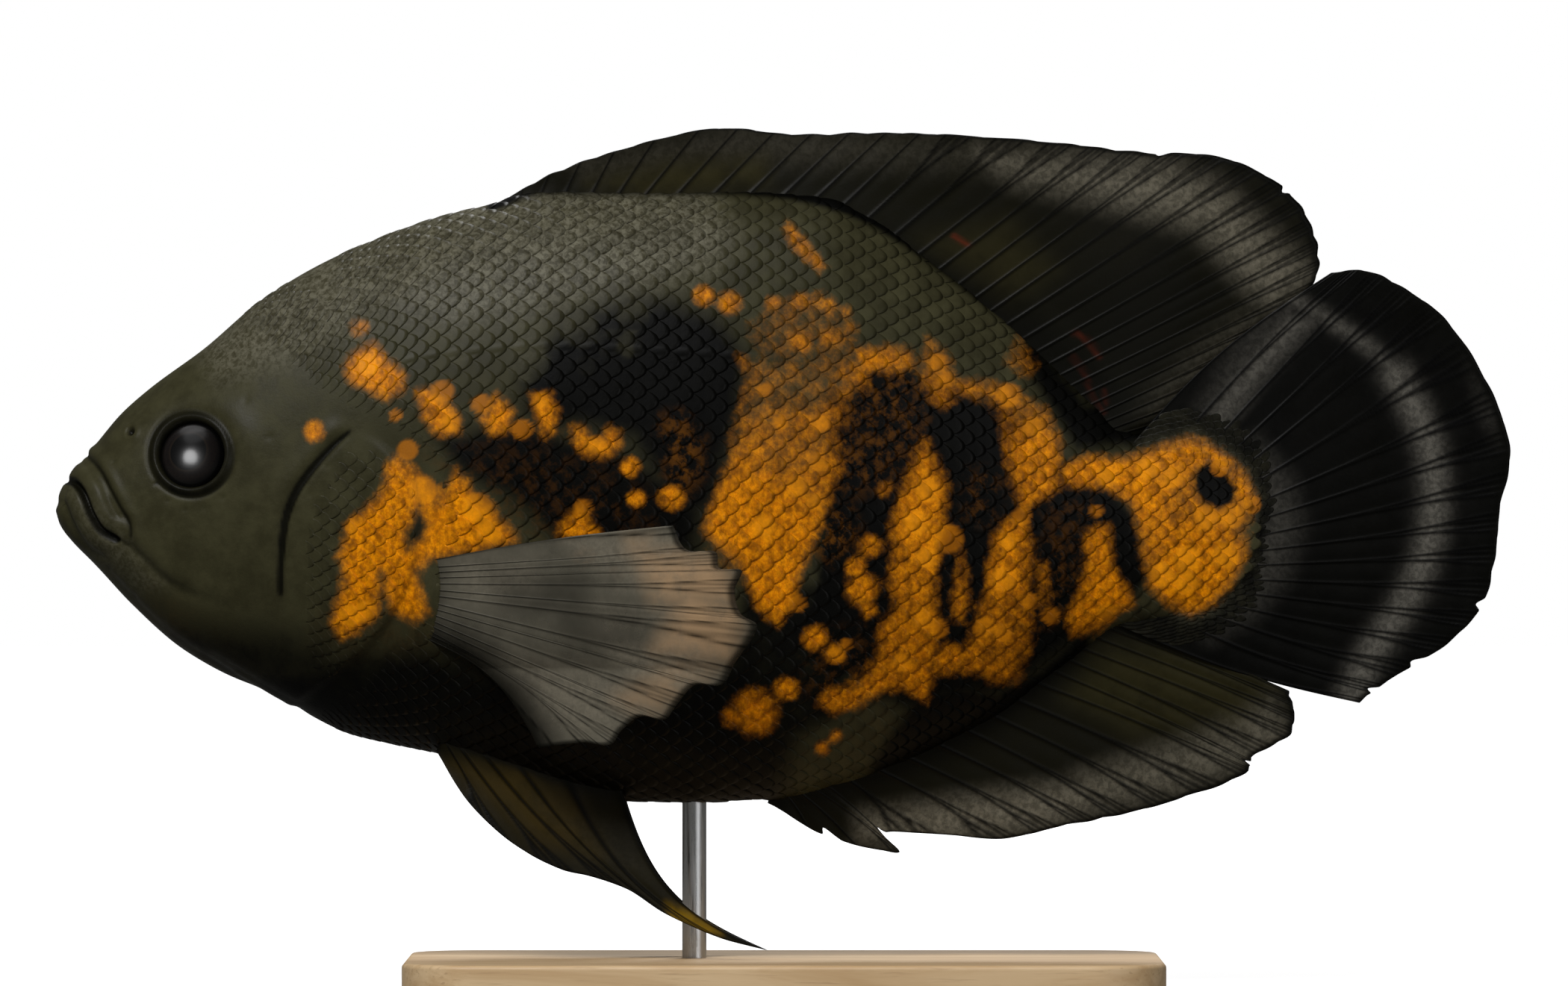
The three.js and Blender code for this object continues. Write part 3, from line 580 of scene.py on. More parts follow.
# Round lighter spots that lie on and beside the orange, as [place, height, radius]
ROUND_SPOTS = [
    [181.6, 128.7, 2.1], [183.2, 125.2, 1.9], [196.2, 122, 2.8], [201.2, 115.5, 2.3], [146.2, 123, 1.7],
    [149.4, 116.5, 1.6], [157.5, 116.2, 2.1], [156.9, 108.4, 2.1], [152.6, 103.3, 2.2], [156.5, 100.1, 1.8],
    [145.8, 95, 2.5], [179.5, 102.6, 2.8], [177, 95.8, 2.8], [183.7, 92.5, 3.2], [179.1, 88.5, 2.3],
    [198.7, 97, 2.1], [196, 91.9, 2.1], [195.2, 84.1, 2.8], [178.7, 75.9, 2.3], [181.7, 74, 2.1],
    [191.1, 74.4, 2.2], [195, 73.1, 2], [174.1, 67.2, 2], [200.4, 79.6, 1.9], [204.8, 76.6, 2],
    [216.5, 77, 2.1], [214.2, 98.2, 1.4], [224.8, 106.9, 2.5], [230.1, 105.1, 2.4], [216.5, 105.3, 2.3],
    [239.8, 107.2, 2.1], [237.3, 96.8, 2.7], [242.3, 97.1, 2.8], [246.4, 99.5, 2.1], [233, 88.3, 2.9],
    [241.1, 89.1, 3], [227.6, 84.9, 2.8], [232.6, 83.5, 2.8], [160.6, 68.7, 2], [162.6, 70.9, 1.3],
    [152.6, 79.2, 1.9], [64.7, 128.1, 2.6], [80.1, 122.6, 2.6], [70.5, 117.8, 1.4], [81.8, 116.2, 2.2],
    [73, 110.7, 2.3], [88.2, 120.1, 2.2], [96.4, 114.9, 2.3], [100.1, 120.8, 1.8], [111.6, 111.8, 2.1],
    [76.3, 102.5, 3], [87.3, 98.9, 3.3], [89.7, 94, 2.8], [61.7, 95.1, 1.7], [61.2, 76.9, 2.5],
    [64.5, 77.7, 2.5], [108.8, 98.9, 1.9],
]
# Paler discs on the black, as [place, height, radius]
GREY_SPOTS = [
    [87.3, 135.8, 2.9], [83.1, 130.3, 2.4], [98, 128.3, 4.2], [97.8, 131.9, 3.9], [108.5, 134.7, 4.1],
    [109.3, 127.8, 2.8], [115.4, 131.8, 4.2], [118.8, 132.3, 3.2], [119.1, 137.7, 3.6],
]
# Black areas, as (strength, softness, outline). Most are the fish's own black markings, while the belly and
# under_stem areas are painted shade.
BLACK_AND_SHADE_AREAS = {
    "behind_opening": (0.3, 5, [[62, 121], [75, 119], [81, 110], [76, 104], [66, 108]]),
    "under_nape": (0.22, 6, [[68, 127], [84, 134], [97, 136], [96, 117], [80, 113], [70, 118]]),
    "jaw": (0.6, 8, [[20, 73], [30, 76], [44, 76], [58, 73], [64, 64], [50, 56], [36, 62], [24, 69]]),
    "flank": (1, 8, [
        [99.5, 130], [105, 136], [114, 140], [124, 141.5], [136, 138], [142, 130.7], [141.5, 120.5],
        [138.6, 111.2], [136.1, 100], [131.4, 95.4], [123.7, 105.1], [119.1, 112.8], [109.9, 116],
        [103, 115], [97, 119], [96.5, 126],
    ]),
    "flank_below": (0.85, 6, [
        [78, 113.4], [96, 117], [119.1, 110], [134.4, 98.8], [132.8, 88.7], [105.2, 90], [94.5, 100],
        [84, 105.6],
    ]),
    "shoulder_hollow": (0.55, 2.4, [[75.2, 98.4], [77.1, 95.6], [76.3, 92.9], [73, 90.1], [72.4, 93.4]]),
    "middle": (1, 3, [
        [165.6, 126.6], [176.9, 126.9], [178.4, 117.4], [178, 109.7], [175.3, 102], [173.8, 89.7],
        [172.3, 80.4], [169.2, 69.6], [160.7, 62.2], [153.5, 70.2], [153.8, 77.3], [156.9, 83.5],
        [158.4, 95.8], [160.7, 103.5], [162.2, 111.2], [163.8, 119.7],
    ]),
    "column": (1, 3, [
        [180.6, 119.2], [188.4, 122.2], [194.1, 117.4], [195.8, 108.1], [196.1, 96.9], [191.5, 88.7],
        [190.4, 75.6], [184.4, 71.6], [183.9, 85.8], [187.5, 96.5], [185.8, 105.5],
    ]),
    "fourth": (1, 3.4, [
        [204.2, 104.5], [216.2, 102.2], [221.8, 97.4], [224.9, 85], [221.8, 80], [218.3, 89.7],
        [214.6, 96.8], [210.3, 89.7], [209, 79], [203.4, 78.4], [202.6, 89.7], [202.3, 97.4],
    ]),
    "low_rear": (1, 4.5, [
        [178, 61.5], [186, 62.5], [194, 61], [203, 66], [212, 74], [214, 68], [198, 52], [180, 43],
        [164, 36], [168, 46], [173, 54],
    ]),
    # The dark belly is painted shade on the underside
    "belly": (0.74, 7, [
        [62.1, 70.2], [80.6, 71.3], [98, 63], [126.8, 64], [142.2, 72.2], [152.5, 65], [154.6, 53.8],
        [150.4, 34], [117.6, 30], [77.5, 40.1], [59, 45.9], [44.7, 54.8], [36, 66.1],
    ]),
    "stem_spot": (1, 2, [
        [235.2, 106.6], [237.6, 108], [241, 106.2], [243, 102.8], [242.4, 99.8], [239.4, 98.6],
        [236, 100.4], [234.6, 103.4],
    ]),
    "behind_stem": (0.9, 4.5, [
        [200, 135], [206, 129], [212, 121], [224, 117], [236, 117], [234, 113], [222, 111], [210, 110.5],
        [207, 115], [203, 121], [200, 126], [198, 131],
    ]),
    "low_ground": (0.7, 4, [[141, 84], [158, 84], [164, 66], [170, 60], [156, 52], [142, 48], [138, 66]]),
    "rear_ground": (0.8, 5, [
        [159, 122], [176, 127], [196, 121], [206, 110], [220, 102], [225, 84], [214, 73], [196, 60],
        [176, 56], [160, 64], [156, 90],
    ]),
    # Painted shade under the tail stem
    "under_stem": (0.6, 3, [[222, 79], [232, 75], [244, 82], [247, 78], [236, 70], [222, 72]]),
}
# The greyer back, partly the fish's own mottled grey and partly painted light from above, and the chin's
# painted light
GREY_AND_LIT_BACK = [
    [29.5, 133.3], [52.9, 151], [86.7, 165], [105.2, 167.8], [134.1, 164], [139, 155],
    [135, 148], [124.8, 145], [108.3, 142], [96, 139], [84, 137], [68, 139],
    [52, 130], [34.4, 126],
]
# Painted light on the chin, where the head turns down away from the light
PAINTED_CHIN_LIGHT = [[4, 102], [9, 99], [14, 93], [22, 83], [17, 82], [8, 90]]


def dorsal_foot_height(place):
    """The black line at the foot of the dorsal fin lies a little above the back, and
    closest to it at the front and where the back starts to fall."""
    above = 1.1 + 0.5 * smoothstep(184, 204, place) - 1.1 * hump(place - 160, 14)
    return back_height(place) + above - 1.5 * hump(place - 88, 4)


DORSAL_FOOT = [[place, dorsal_foot_height(place)] for place in np.linspace(90, 215, 14)]
# Brownish areas, as (strength, softness, outline)
WARM_AREAS = {
    "chin": (0.55, 5, [[20, 82], [32, 75], [50, 62], [74, 55], [96, 50], [90, 40], [50, 50], [20, 68]]),
    "under_shoulder": (0.7, 5, [[56, 78], [66, 79], [80, 74], [78, 68], [62, 66], [54, 70]]),
    "belly_middle": (0.5, 6, [[118, 54], [134, 55], [138, 44], [120, 42]]),
    "low_flank": (0.45, 4, [[163, 60], [177, 62], [176, 52], [162, 47]]),
}


def markings(place, height, turn):
    """Strengths of each colour at spots on the fish. The right side's markings lie a
    little differently from the left side's, and both meet on the back and belly."""
    turn = np.mod(turn, 2)
    other_side = np.where(turn < 1, 0, np.sin(np.pi * np.clip(turn - 1, 0, 1)) ** 0.6)
    place = place + other_side * (2.6 * np.sin(height / 12.5) + 1.2)
    height = height + other_side * 2.4 * np.sin(place / 15 + 1)

    full = [(1, 3.4, outline) for outline in ORANGE_PATCHES.values()]
    faint = [(strength, 2.6, outline) for strength, outline in FAINT_ORANGE.values()]
    orange = strongest(place, height, full + faint)
    for *spot, radius, strength in ORANGE_SPOTS:
        away = away_from(place, height, spot)
        orange = np.maximum(orange, strength * (1 - smoothstep(0.1 * radius, 2 * radius, away)))
    for area in ("shoulder_hollow", "stem_spot"):
        strength, soft, outline = BLACK_AND_SHADE_AREAS[area]
        orange *= 1 - min(1, 1.7 * strength) * within(place, height, outline, soft)
    for strength, soft, outline in MOTTLED_AREAS:
        orange *= 1 - strength * within(place, height, outline, soft)

    round_spot = np.zeros(len(place))
    for *spot, radius in ROUND_SPOTS:
        away = away_from(place, height, spot)
        round_spot = np.maximum(round_spot, 1 - smoothstep(0.78 * radius, 1.05 * radius, away))

    # Black, with painted shade on the belly and under the tail stem
    black = strongest(place, height, BLACK_AND_SHADE_AREAS.values())
    black = np.maximum(black, hump(beside(place, height, DORSAL_FOOT, 6)[0], 1.7))
    black = np.maximum(black, 0.6 * (1 - smoothstep(8.4, 9.6, away_from(place, height, EYE_SPOT))))
    # Grey: on the back partly painted light from above, on the chin painted light
    grey = strongest(place, height, [(1, 6, GREY_AND_LIT_BACK), (0.42, 4, PAINTED_CHIN_LIGHT)])
    for *spot, radius in GREY_SPOTS:
        disc = 1 - smoothstep(0.85 * radius, 1.03 * radius, away_from(place, height, spot))
        black = black * (1 - 0.27 * disc)
        grey = np.maximum(grey, 0.15 * disc)
    return {
        "orange": orange, "flecks": strongest(place, height, FLECKED_AREAS), "round_spot": round_spot,
        "black": black, "grey": grey, "warm": strongest(place, height, WARM_AREAS.values()),
    }


# Meshes

def add_mesh(name, spots, face_groups, material, attributes=None, unwrap=None):
    """A smooth-shaded mesh from [place, across, height] spots. face_groups holds arrays
    of faces, each array with as many corners a face as it has columns."""
    mesh = bpy.data.meshes.new(name)
    mesh.vertices.add(len(spots))
    places = (spots - [TOTAL_LENGTH / 2, 0, 0]) * MM
    mesh.vertices.foreach_set("co", places.ravel().astype(np.float32))
    corners = np.concatenate([faces.ravel() for faces in face_groups]).astype(np.int32)
    sizes = np.concatenate([np.full(len(faces), faces.shape[1]) for faces in face_groups])
    starts = np.concatenate([[0], np.cumsum(sizes)[:-1]]).astype(np.int32)
    mesh.loops.add(len(corners))
    mesh.loops.foreach_set("vertex_index", corners)
    mesh.polygons.add(len(sizes))
    mesh.polygons.foreach_set("loop_start", starts)
    mesh.update(calc_edges=True)
    mesh.validate()
    for key, values in (attributes or {}).items():
        layer = mesh.attributes.new(key, "FLOAT", "POINT")
        layer.data.foreach_set("value", np.asarray(values, np.float32))
    if unwrap is not None:
        layer = mesh.uv_layers.new(name="OFBake")
        layer.data.foreach_set("uv", unwrap[corners].ravel().astype(np.float32))
    mesh.shade_smooth()
    mesh.materials.append(material)
    piece = bpy.data.objects.new(name, mesh)
    bpy.context.scene.collection.objects.link(piece)
    return piece


def turned_out(spots, quads, *others):
    """Groups of faces of a closed shape, all turned over where its quads face in."""
    spots = spots - spots.mean(0)
    a, b, c, d = (spots[quads[:, k]] for k in range(4))
    volume = np.sum(a * np.cross(b, c)) + np.sum(a * np.cross(c, d))
    step = 1 if volume > 0 else -1
    return [faces[:, ::step] for faces in (quads, *others)]


def grid_faces(columns, rows, wrapped=False):
    """Quads of a grid whose spots are listed column by column. In a wrapped grid the last
    row meets the first."""
    column = np.arange(columns - 1)[:, None] * rows
    row = np.arange(rows if wrapped else rows - 1)
    above = (row + 1) % rows
    quads = [column + row, column + rows + row, column + rows + above, column + above]
    return np.stack(quads, -1).reshape(-1, 4)


def closed_faces(spots, rings, around):
    """Faces of a closed shape made of rings, whose two end spots come after the rings."""
    spoke = np.arange(around)
    after = (spoke + 1) % around
    last = (rings - 1) * around
    front = np.column_stack([np.full(around, rings * around), spoke, after])
    back = np.column_stack([np.full(around, rings * around + 1), last + after, last + spoke])
    return turned_out(spots, grid_faces(rings, around, wrapped=True), front, back)


def unwrap_spot(place, turn):
    """Where a spot on the skin lies on the body's own unwrap."""
    along = 0.02 + 0.96 * (np.clip(place, 0, BODY_END) / BODY_END)
    return np.column_stack([along, 0.01 + 0.98 * turn / 2])


# Skin

# Behind here the rings lean to the tail fin's root line and close this far behind it
LEAN_START = 218
LEAN_PAST_ROOT = 2.4


def skin_turns():
    """Steps round the body, closer together on the eye and mouth."""
    fine = np.linspace(0, 1, 2001)
    crowd = np.cumsum(1 + 2 * hump(fine - 0.44, 0.22))
    half = np.interp(np.linspace(crowd[0], crowd[-1], HALF_STEPS + 1), crowd, fine)
    return np.concatenate([half[:-1], 2 - half[::-1][:-1]])


def softened(grid):
    """A grid of values round the body, with each blended a little with its neighbours."""
    grid = (np.roll(grid, 1, axis=1) + 2 * grid + np.roll(grid, -1, axis=1)) / 4
    ends = np.vstack([grid[:1], grid, grid[-1:]])
    return (ends[:-2] + 2 * ends[1:-1] + ends[2:]) / 4


def make_skin(material):
    turns = skin_turns()
    around = len(turns)
    turn = np.tile(turns, RINGS)
    straight = np.repeat(ring_places, around).astype(float)
    down = down_at(straight, np.where(turn < 1, turn, 2 - turn))
    share_back = np.clip((straight - LEAN_START) / (BODY_END - LEAN_START), 0, 1)
    place = straight
    for _ in range(8):
        top = back_height(place)
        height = top + (belly_height(place) - top) * down
        reach = tail_root_place(height) + LEAN_PAST_ROOT - LEAN_START
        place = np.where(straight > LEAN_START, LEAN_START + share_back * reach, straight)
    side = np.where(turn < 1, LEFT, RIGHT)
    spots = np.column_stack([place, side * half_width(place, height, closing=True), height])

    grid = spots.reshape(RINGS, around, 3)
    ahead = np.roll(grid, -1, axis=1) - np.roll(grid, 1, axis=1)
    out = unit(np.cross(ahead, np.gradient(grid, axis=0)).reshape(-1, 3))
    out *= np.sign(np.sum(out * (spots - [110, 0, 100]), axis=1).mean())
    rise, fold = relief(place, height, np.abs(spots[:, 1]))
    rise, fold = (softened(values.reshape(RINGS, around)).ravel() for values in (rise, fold))
    spots = spots + out * (rise * before_tail(place, height))[:, None]
    spots = np.vstack([spots, spots[:around].mean(0), spots[-around:].mean(0)])

    colours = markings(place, height, turn)
    # Painted shade in the creases, pits and hollows
    colours["fold"] = smoothstep(0.1, 0.7, fold)
    attributes = {key: np.concatenate([values, values[:1], values[-1:]]) for key, values in colours.items()}
    skin = add_mesh("skin", spots, closed_faces(spots, RINGS, around), material, attributes)
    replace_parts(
        skin, "head", "upper_jaw", "lower_jaw", "gill_cover_left", "gill_cover_right", "trunk", "tail_stem"
    )
    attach(skin, "root")


# Scales

# How far apart the scales of a row are at a place, and the rows as a share of that
SCALE_PITCH = smooth_line([
    [20, 2.3], [34, 2.6], [50, 3.1], [62, 3.7], [78, 4.4], [110, 4.8], [170, 4.6], [210, 4.0], [256, 3.2],
])
ROW_SHARE = 0.49
UPPER_LATERAL_ROW, LOWER_LATERAL_ROW = -13, 1
# The height of row 0
MIDLINE = smooth_line([[20, 100], [75, 104], [150, 101], [205, 95], [250, 93]])
# Where the gill cover has scales
COVER_SCALES = [
    [60.5, 112.6], [56.5, 107], [52.4, 101], [50.2, 92], [50, 78], [50.6, 66], [56, 65.4], [65, 73.8],
    [70.6, 83], [73, 94], [72, 103], [67.6, 109.6],
]
# Mesh steps from the front of a scale to its rear, mesh lines across it, and how many
# scales a piece may have
PLATE_STEPS = 6
PLATE_LINES = 9
COAT_LIMIT = 1000


def midline_share():
    """Share of the way round at which the midline lies, at each ring."""
    shares = []
    for place, row in zip(ring_places, down_table):
        top, bottom = back_height(place), belly_height(place)
        shares.append(np.interp(-MIDLINE(place), -(top + (bottom - top) * row), np.linspace(0, 1, len(row))))
    return np.array(shares)


midline_shares = midline_share()


def row_share(place, row):
    """Share of the way round of a scale row. Rows close up towards the back and belly."""
    reach = row * (1 - 0.0035 * np.abs(row)) * ROW_SHARE * SCALE_PITCH(place)
    return np.interp(place, ring_places, midline_shares) + reach / half_length(place)


def coat_strength(place, height):
    """1 where the scales are full, 0 where the skin is bare."""
    distance, share, left = beside(place, height, COVER_MARGIN + NAPE[1:], 16)
    behind = np.where((left > 0) & (distance < 16), -distance, distance)
    in_front = (distance >= 16) & ((place < 56) & (height < 150) | (place < 30))
    trunk = smoothstep(0.2, 9, np.where(in_front, -16, behind))
    strength = np.maximum(trunk, 0.74 * within(place, height, COVER_SCALES, 4.5))
    strength *= smoothstep(9.5, 13, away_from(place, height, EYE_SPOT))
    past = place - tail_root_place(height)
    strength = strength * (1 - 0.35 * smoothstep(-12, 0, past))
    strength[past > 0.6] = 0
    base = hump(place - PECTORAL_BASE[0], 3.4) * hump(height - PECTORAL_BASE[1], 8.2)
    strength *= 1 - smoothstep(0.35, 0.75, base)
    return strength * smoothstep(2.2, 4, beside(place, height, GILL_LINE, 5)[0])


def scale_seeds(side):
    """Place, row and strength of each scale on one side."""
    walk = np.linspace(20, 252, 2400)
    counted = np.concatenate([[0], np.cumsum(np.diff(walk) / SCALE_PITCH(walk[:-1]))])
    seeds = []
    for row in range(-62, 76):
        count = np.arange(0, counted[-1], 1) + 0.5 * (row % 2)
        count = count + rng.normal(0, 0.012, len(count))
        place = np.interp(count, counted, walk)
        share = row_share(place, row)
        height = smooth_spot(place, np.clip(share, 0, 1))[:, 2]
        strength = coat_strength(place, height)
        edge = 0.5 * ROW_SHARE * SCALE_PITCH(place) / half_length(place)
        keep = (share > edge) & (share < 1 - edge) & (strength > 0.12)
        seeds.append(np.column_stack([place, np.full(len(place), row), strength])[keep])
    return np.vstack(seeds)


def plate_shape():
    """A scale as seen from above, front to rear (a) and side to side (b), with its faces:
    a domed top, a rim and a flat underside."""
    a = np.repeat(np.linspace(0, 1, PLATE_STEPS + 1), PLATE_LINES)
    b = np.tile(np.linspace(-1, 1, PLATE_LINES), PLATE_STEPS + 1)
    top = grid_faces(PLATE_STEPS + 1, PLATE_LINES)
    count = len(a)
    first = np.arange(PLATE_LINES)
    step = np.arange(1, PLATE_STEPS)
    rim = np.concatenate([
        first,
        step * PLATE_LINES + PLATE_LINES - 1,
        PLATE_STEPS * PLATE_LINES + first[::-1],
        step[::-1] * PLATE_LINES,
    ])
    under = count + np.arange(len(rim))
    rim_faces = np.column_stack([rim, np.roll(rim, -1), np.roll(under, -1), under])
    middle = count + len(rim)
    under_faces = np.column_stack([np.full(len(rim), middle), under, np.roll(under, -1)])
    a = np.concatenate([a, a[rim], [0.4]])
    b = np.concatenate([b, b[rim], [0]])
    below = np.concatenate([np.zeros(count), np.ones(len(rim) + 1)])
    return a, b, below, top, rim_faces, under_faces


def make_plates(name, surface, seeds, length, width, strength, roots, material, thickness=0.15):
    """Scales on a surface. surface(seed, along, across, a, b) gives the spots, outward
    directions and colours at offsets in millimetres from each scale's root."""
    a, b, below, top, rim_faces, under_faces = plate_shape()
    count, size = len(seeds), len(a)
    seed = np.repeat(np.arange(count), size)
    a, b, below = np.tile(a, count), np.tile(b, count), np.tile(below, count)
    along = length[seed] * (a * (1 - 0.4 * np.abs(b) ** 2.2) - 0.45 + 0.06 * b**2 * (1 - a))
    across = width[seed] / 2 * b * (0.84 + 0.16 * np.sin(np.pi * np.clip(a, 0, 1) ** 0.8))
    spots, out, attributes = surface(seed, along, across, a, b)
    lift = 0.44 * a**0.85 - 0.09 * b**2 * (0.4 + 0.6 * a) - 0.05 * smoothstep(0.85, 1, a)
    tilt = 1 + rng.normal(0, 0.05, count)
    rise = -0.17 + strength[seed] * lift * tilt[seed] - below * thickness
    spots = spots + out * rise[:, None]
    attributes["rim"] = smoothstep(0.6, 1, a) * (1 - below)
    attributes["shade"] = rng.random(count)[seed]
    unwrap = roots[seed] + np.column_stack([a - 0.5, b / 2]) * 0.003
    shift = (np.arange(count) * size)[:, None, None]
    faces = [(part[None] + shift).reshape(-1, part.shape[1]) for part in (top, rim_faces, under_faces)]
    first_top = spots[top[0]]
    facing = np.cross(first_top[1] - first_top[0], first_top[2] - first_top[0]) @ out[top[0][0]]
    if facing < 0:
        faces = [part[:, ::-1] for part in faces]
    piece = add_mesh(name, spots, faces, material, attributes, unwrap)
    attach(piece, "root")


def lateral_tube(place, row, a, b):
    """The raised tube on each scale of the two rows that carry the lateral line."""
    upper = (row == UPPER_LATERAL_ROW) & (place > 70) & (place < 192)
    lower = (row == LOWER_LATERAL_ROW) & (place > 168) & (place < 240)
    tube = smoothstep(0.3, 0.45, a) * (1 - smoothstep(0.86, 0.95, a)) * (np.abs(b) < 0.2)
    return 0.18 * tube * (upper | lower)


def make_body_scales(material):
    for side in (LEFT, RIGHT):
        seeds = scale_seeds(side)
        seeds = seeds[np.argsort(seeds[:, 0], kind="stable")]
        parts = np.array_split(np.arange(len(seeds)), math.ceil(len(seeds) / COAT_LIMIT))
        for number, part in enumerate(parts, 1):
            make_coat_part(f"scales_{SIDE_NAMES[side]}_{number}", seeds[part], side, material)


def make_coat_part(name, seeds, side, material):
    place0, row, strength = seeds.T
    pitch = SCALE_PITCH(place0) * (0.72 + 0.28 * strength)

    def surface(seed, along, across, a, b):
        place = place0[seed] + along
        share = np.clip(row_share(place, row[seed]) + across / half_length(place), 0.001, 0.999)
        turn = share if side == LEFT else 2 - share
        spots = smooth_spot(place, turn)
        out = outward_at(place, turn)
        rise, fold = relief(place, spots[:, 2], np.abs(spots[:, 1]))
        rise = rise * before_tail(place, spots[:, 2]) + lateral_tube(place0[seed], row[seed], a, b)
        colours = markings(place, spots[:, 2], turn)
        # Painted shade in the creases, pits and hollows
        colours["fold"] = fold
        return spots + out * rise[:, None], out, colours

    share0 = row_share(place0, row)
    roots = unwrap_spot(place0, share0 if side == LEFT else 2 - share0)
    width = 2.26 * ROW_SHARE * pitch
    make_plates(name, surface, seeds, 1.36 * pitch, width, strength, roots, material)


# Fins

# How deep the fins' roots lie in the body
FIN_SINK = 3

# A guide gives a ray's root and tip, as [place, height], and how far it bows to the left
# of its own direction. The dorsal, anal and pelvic fins' roots are places on the outline.
# The pectoral fin's guides are tips alone.
FIN_GUIDES = {
    "dorsal": [
        [91, [90.6, 161.6], 0], [98.5, [102.3, 167.9], 0], [110, [117, 173], 0], [121, [136, 177.2], 0],
        [136, [152, 176], 0], [151, [168.7, 176.3], 0], [164, [184, 175.9], 0], [175.5, [206.9, 174.2], 0],
        [184, [223, 172.4], 0], [191, [241, 171.2], 0], [198, [254.2, 164.2], 0],
        [203.5, [259.6, 155.3], 0], [208, [260, 146.5], 0], [212, [250.4, 135.6], 0],
        [215, [239.5, 123.6], 0], [217.6, [224.5, 112.6], 0],
    ],
    "anal": [
        [146, [146.6, 37.9], 0.6], [148.5, [159, 31], 0.6], [152, [173.8, 27.9], 0.6],
        [157, [170.8, 31.4], 0.6], [165, [195.4, 30.6], 0.6], [174.6, [208.5, 33.4], 0.6],
        [184, [220, 35.6], 0.6], [192, [233, 39.2], 0.6], [199, [245.8, 44.6], 0.6],
        [204, [246.6, 47.2], 0.6], [208.5, [254.6, 52.4], 0.4], [212.5, [255.2, 57.3], 0.4],
        [216, [254, 61.2], 0.4],
    ],
    "tail": [
        [[221.5, 111.8], [262.8, 147.3], 2.4], [[231.5, 107.8], [269.5, 147.9], 1],
        [[236, 104.6], [278, 144.2], 0.2], [[239, 101], [287, 137.2], 0], [[241, 97.6], [296.2, 122.4], 0],
        [[241.8, 93.6], [299.8, 110.5], 0], [[241.4, 89.8], [297.6, 98], 0],
        [[239.6, 86.2], [296.6, 88], 0], [[236.8, 83], [293.6, 78], 0], [[233.6, 80.4], [286, 70.2], -0.6],
        [[230.6, 78.4], [274.4, 63], -1.4], [[218.6, 74.8], [268.6, 58.6], -1.7],
    ],
    "pectoral": [
        [127.3, 95.3], [130, 90.4], [136.1, 89.8], [136.7, 86.7], [141.3, 86.1], [139.9, 82.3],
        [141.1, 77.3], [144.4, 75], [139.9, 67.3], [137.2, 62.9], [131.8, 62.8], [128.3, 59.2],
        [125.7, 55.8], [120.6, 56.4], [116.8, 53.5], [114.5, 50.6], [109.1, 51], [99.8, 49.8],
    ],
    "pelvic": [
        [79, [78.6, 48.8], 0], [79.6, [84.7, 39], 0.6], [81, [94.1, 30.1], 0], [83, [103.8, 24.8], -0.6],
        [86, [111.2, 22.9], -1.2], [90, [118, 20.4], -1.4], [95, [124.6, 16.1], -2],
        [101.5, [129.8, 13.5], -3.2], [109, [137.4, 10.4], -4.6], [116.5, [146.4, 8.1], -6.6],
    ],
}


PECTORAL_ROOT = 76.4
PECTORAL_ROOT_HEIGHTS = 87.6, 72.9

# For each fin: rays, and how many in front are unbranched spines. Mesh lines from ray to
# ray, and rows. Thickness at the root and edge, and how fast it thins. Height of the rays,
# notches between them, pleats, where the rays rise, and how fine they are.
FIN_FORM = dict(ridge_from=(0, 0.08), fine=0.7)
BACK_FORM = dict(FIN_FORM, rows=66, base=1.55, edge=0.15, taper=2.8, ridge=0.28, notch=0.3, pleat=0.16)
FIN_FORMS = {
    "dorsal": dict(BACK_FORM, rays=33, spines=13, lines=16),
    "anal": dict(BACK_FORM, rays=19, spines=3, lines=18),
    "tail": dict(
        FIN_FORM, rays=17, spines=0, lines=24, rows=100, base=2.45, edge=0.16, taper=2.4, ridge=0.26,
        notch=0.2, pleat=0.14, ridge_from=(0.06, 0.24),
    ),
    "pectoral": dict(
        FIN_FORM, rays=15, spines=0, lines=16, rows=84, base=1.5, edge=0.11, taper=3.4, ridge=0.22,
        notch=0.08, pleat=0.08, fine=0.55,
    ),
    "pelvic": dict(
        FIN_FORM, rays=7, spines=1, lines=18, rows=90, base=1.5, edge=0.16, taper=2.6, ridge=0.36,
        notch=0.12, pleat=0.2, fine=1,
    ),
}

# Splits in the margins, as (share along the margin, depth, width)
FIN_SPLITS = {
    "dorsal": [(0.553, 0.9, 0.006), (0.664, 1.1, 0.006), (0.95, 1.2, 0.006)],
    "anal": [(0.088, 2.4, 0.012), (0.243, 2.2, 0.014), (0.716, 1.3, 0.014)],
    "tail": [(0.718, 1.3, 0.014), (0.857, 1.6, 0.015), (0.945, 1.6, 0.015)],
}


def fin_lean(name, side, place, height, u, v):
    """How far across the middle of a fin lies. The dorsal fin's rear lobe passes beside
    the tail fin, and the paired fins stand out from the body."""
    if name == "dorsal":
        return v * (3.4 * smoothstep(205, 235, place) + 0.9 * np.sin(place / 11))
    if name == "anal":
        return v * (0.7 * np.sin(place / 12) - 1.3 * smoothstep(215, 245, place))
    if name == "tail":
        return v * (0.5 * np.sin(5 * u) + 0.8 * np.sin((place - 240) / 16))
    if name == "pectoral":
        out = place - PECTORAL_ROOT
        root_side = half_width(PECTORAL_ROOT, np.clip(height, 66, 92)) - FIN_SINK / 2
        return side * (root_side + 0.42 * out - 0.0022 * out**2 + 0.5 * np.sin(height / 5))
    drop = 3 * np.logaddexp(0, (46 - height) / 3)
    return side * (pelvic_offset(place) + 0.44 * drop - 0.0035 * drop**2)


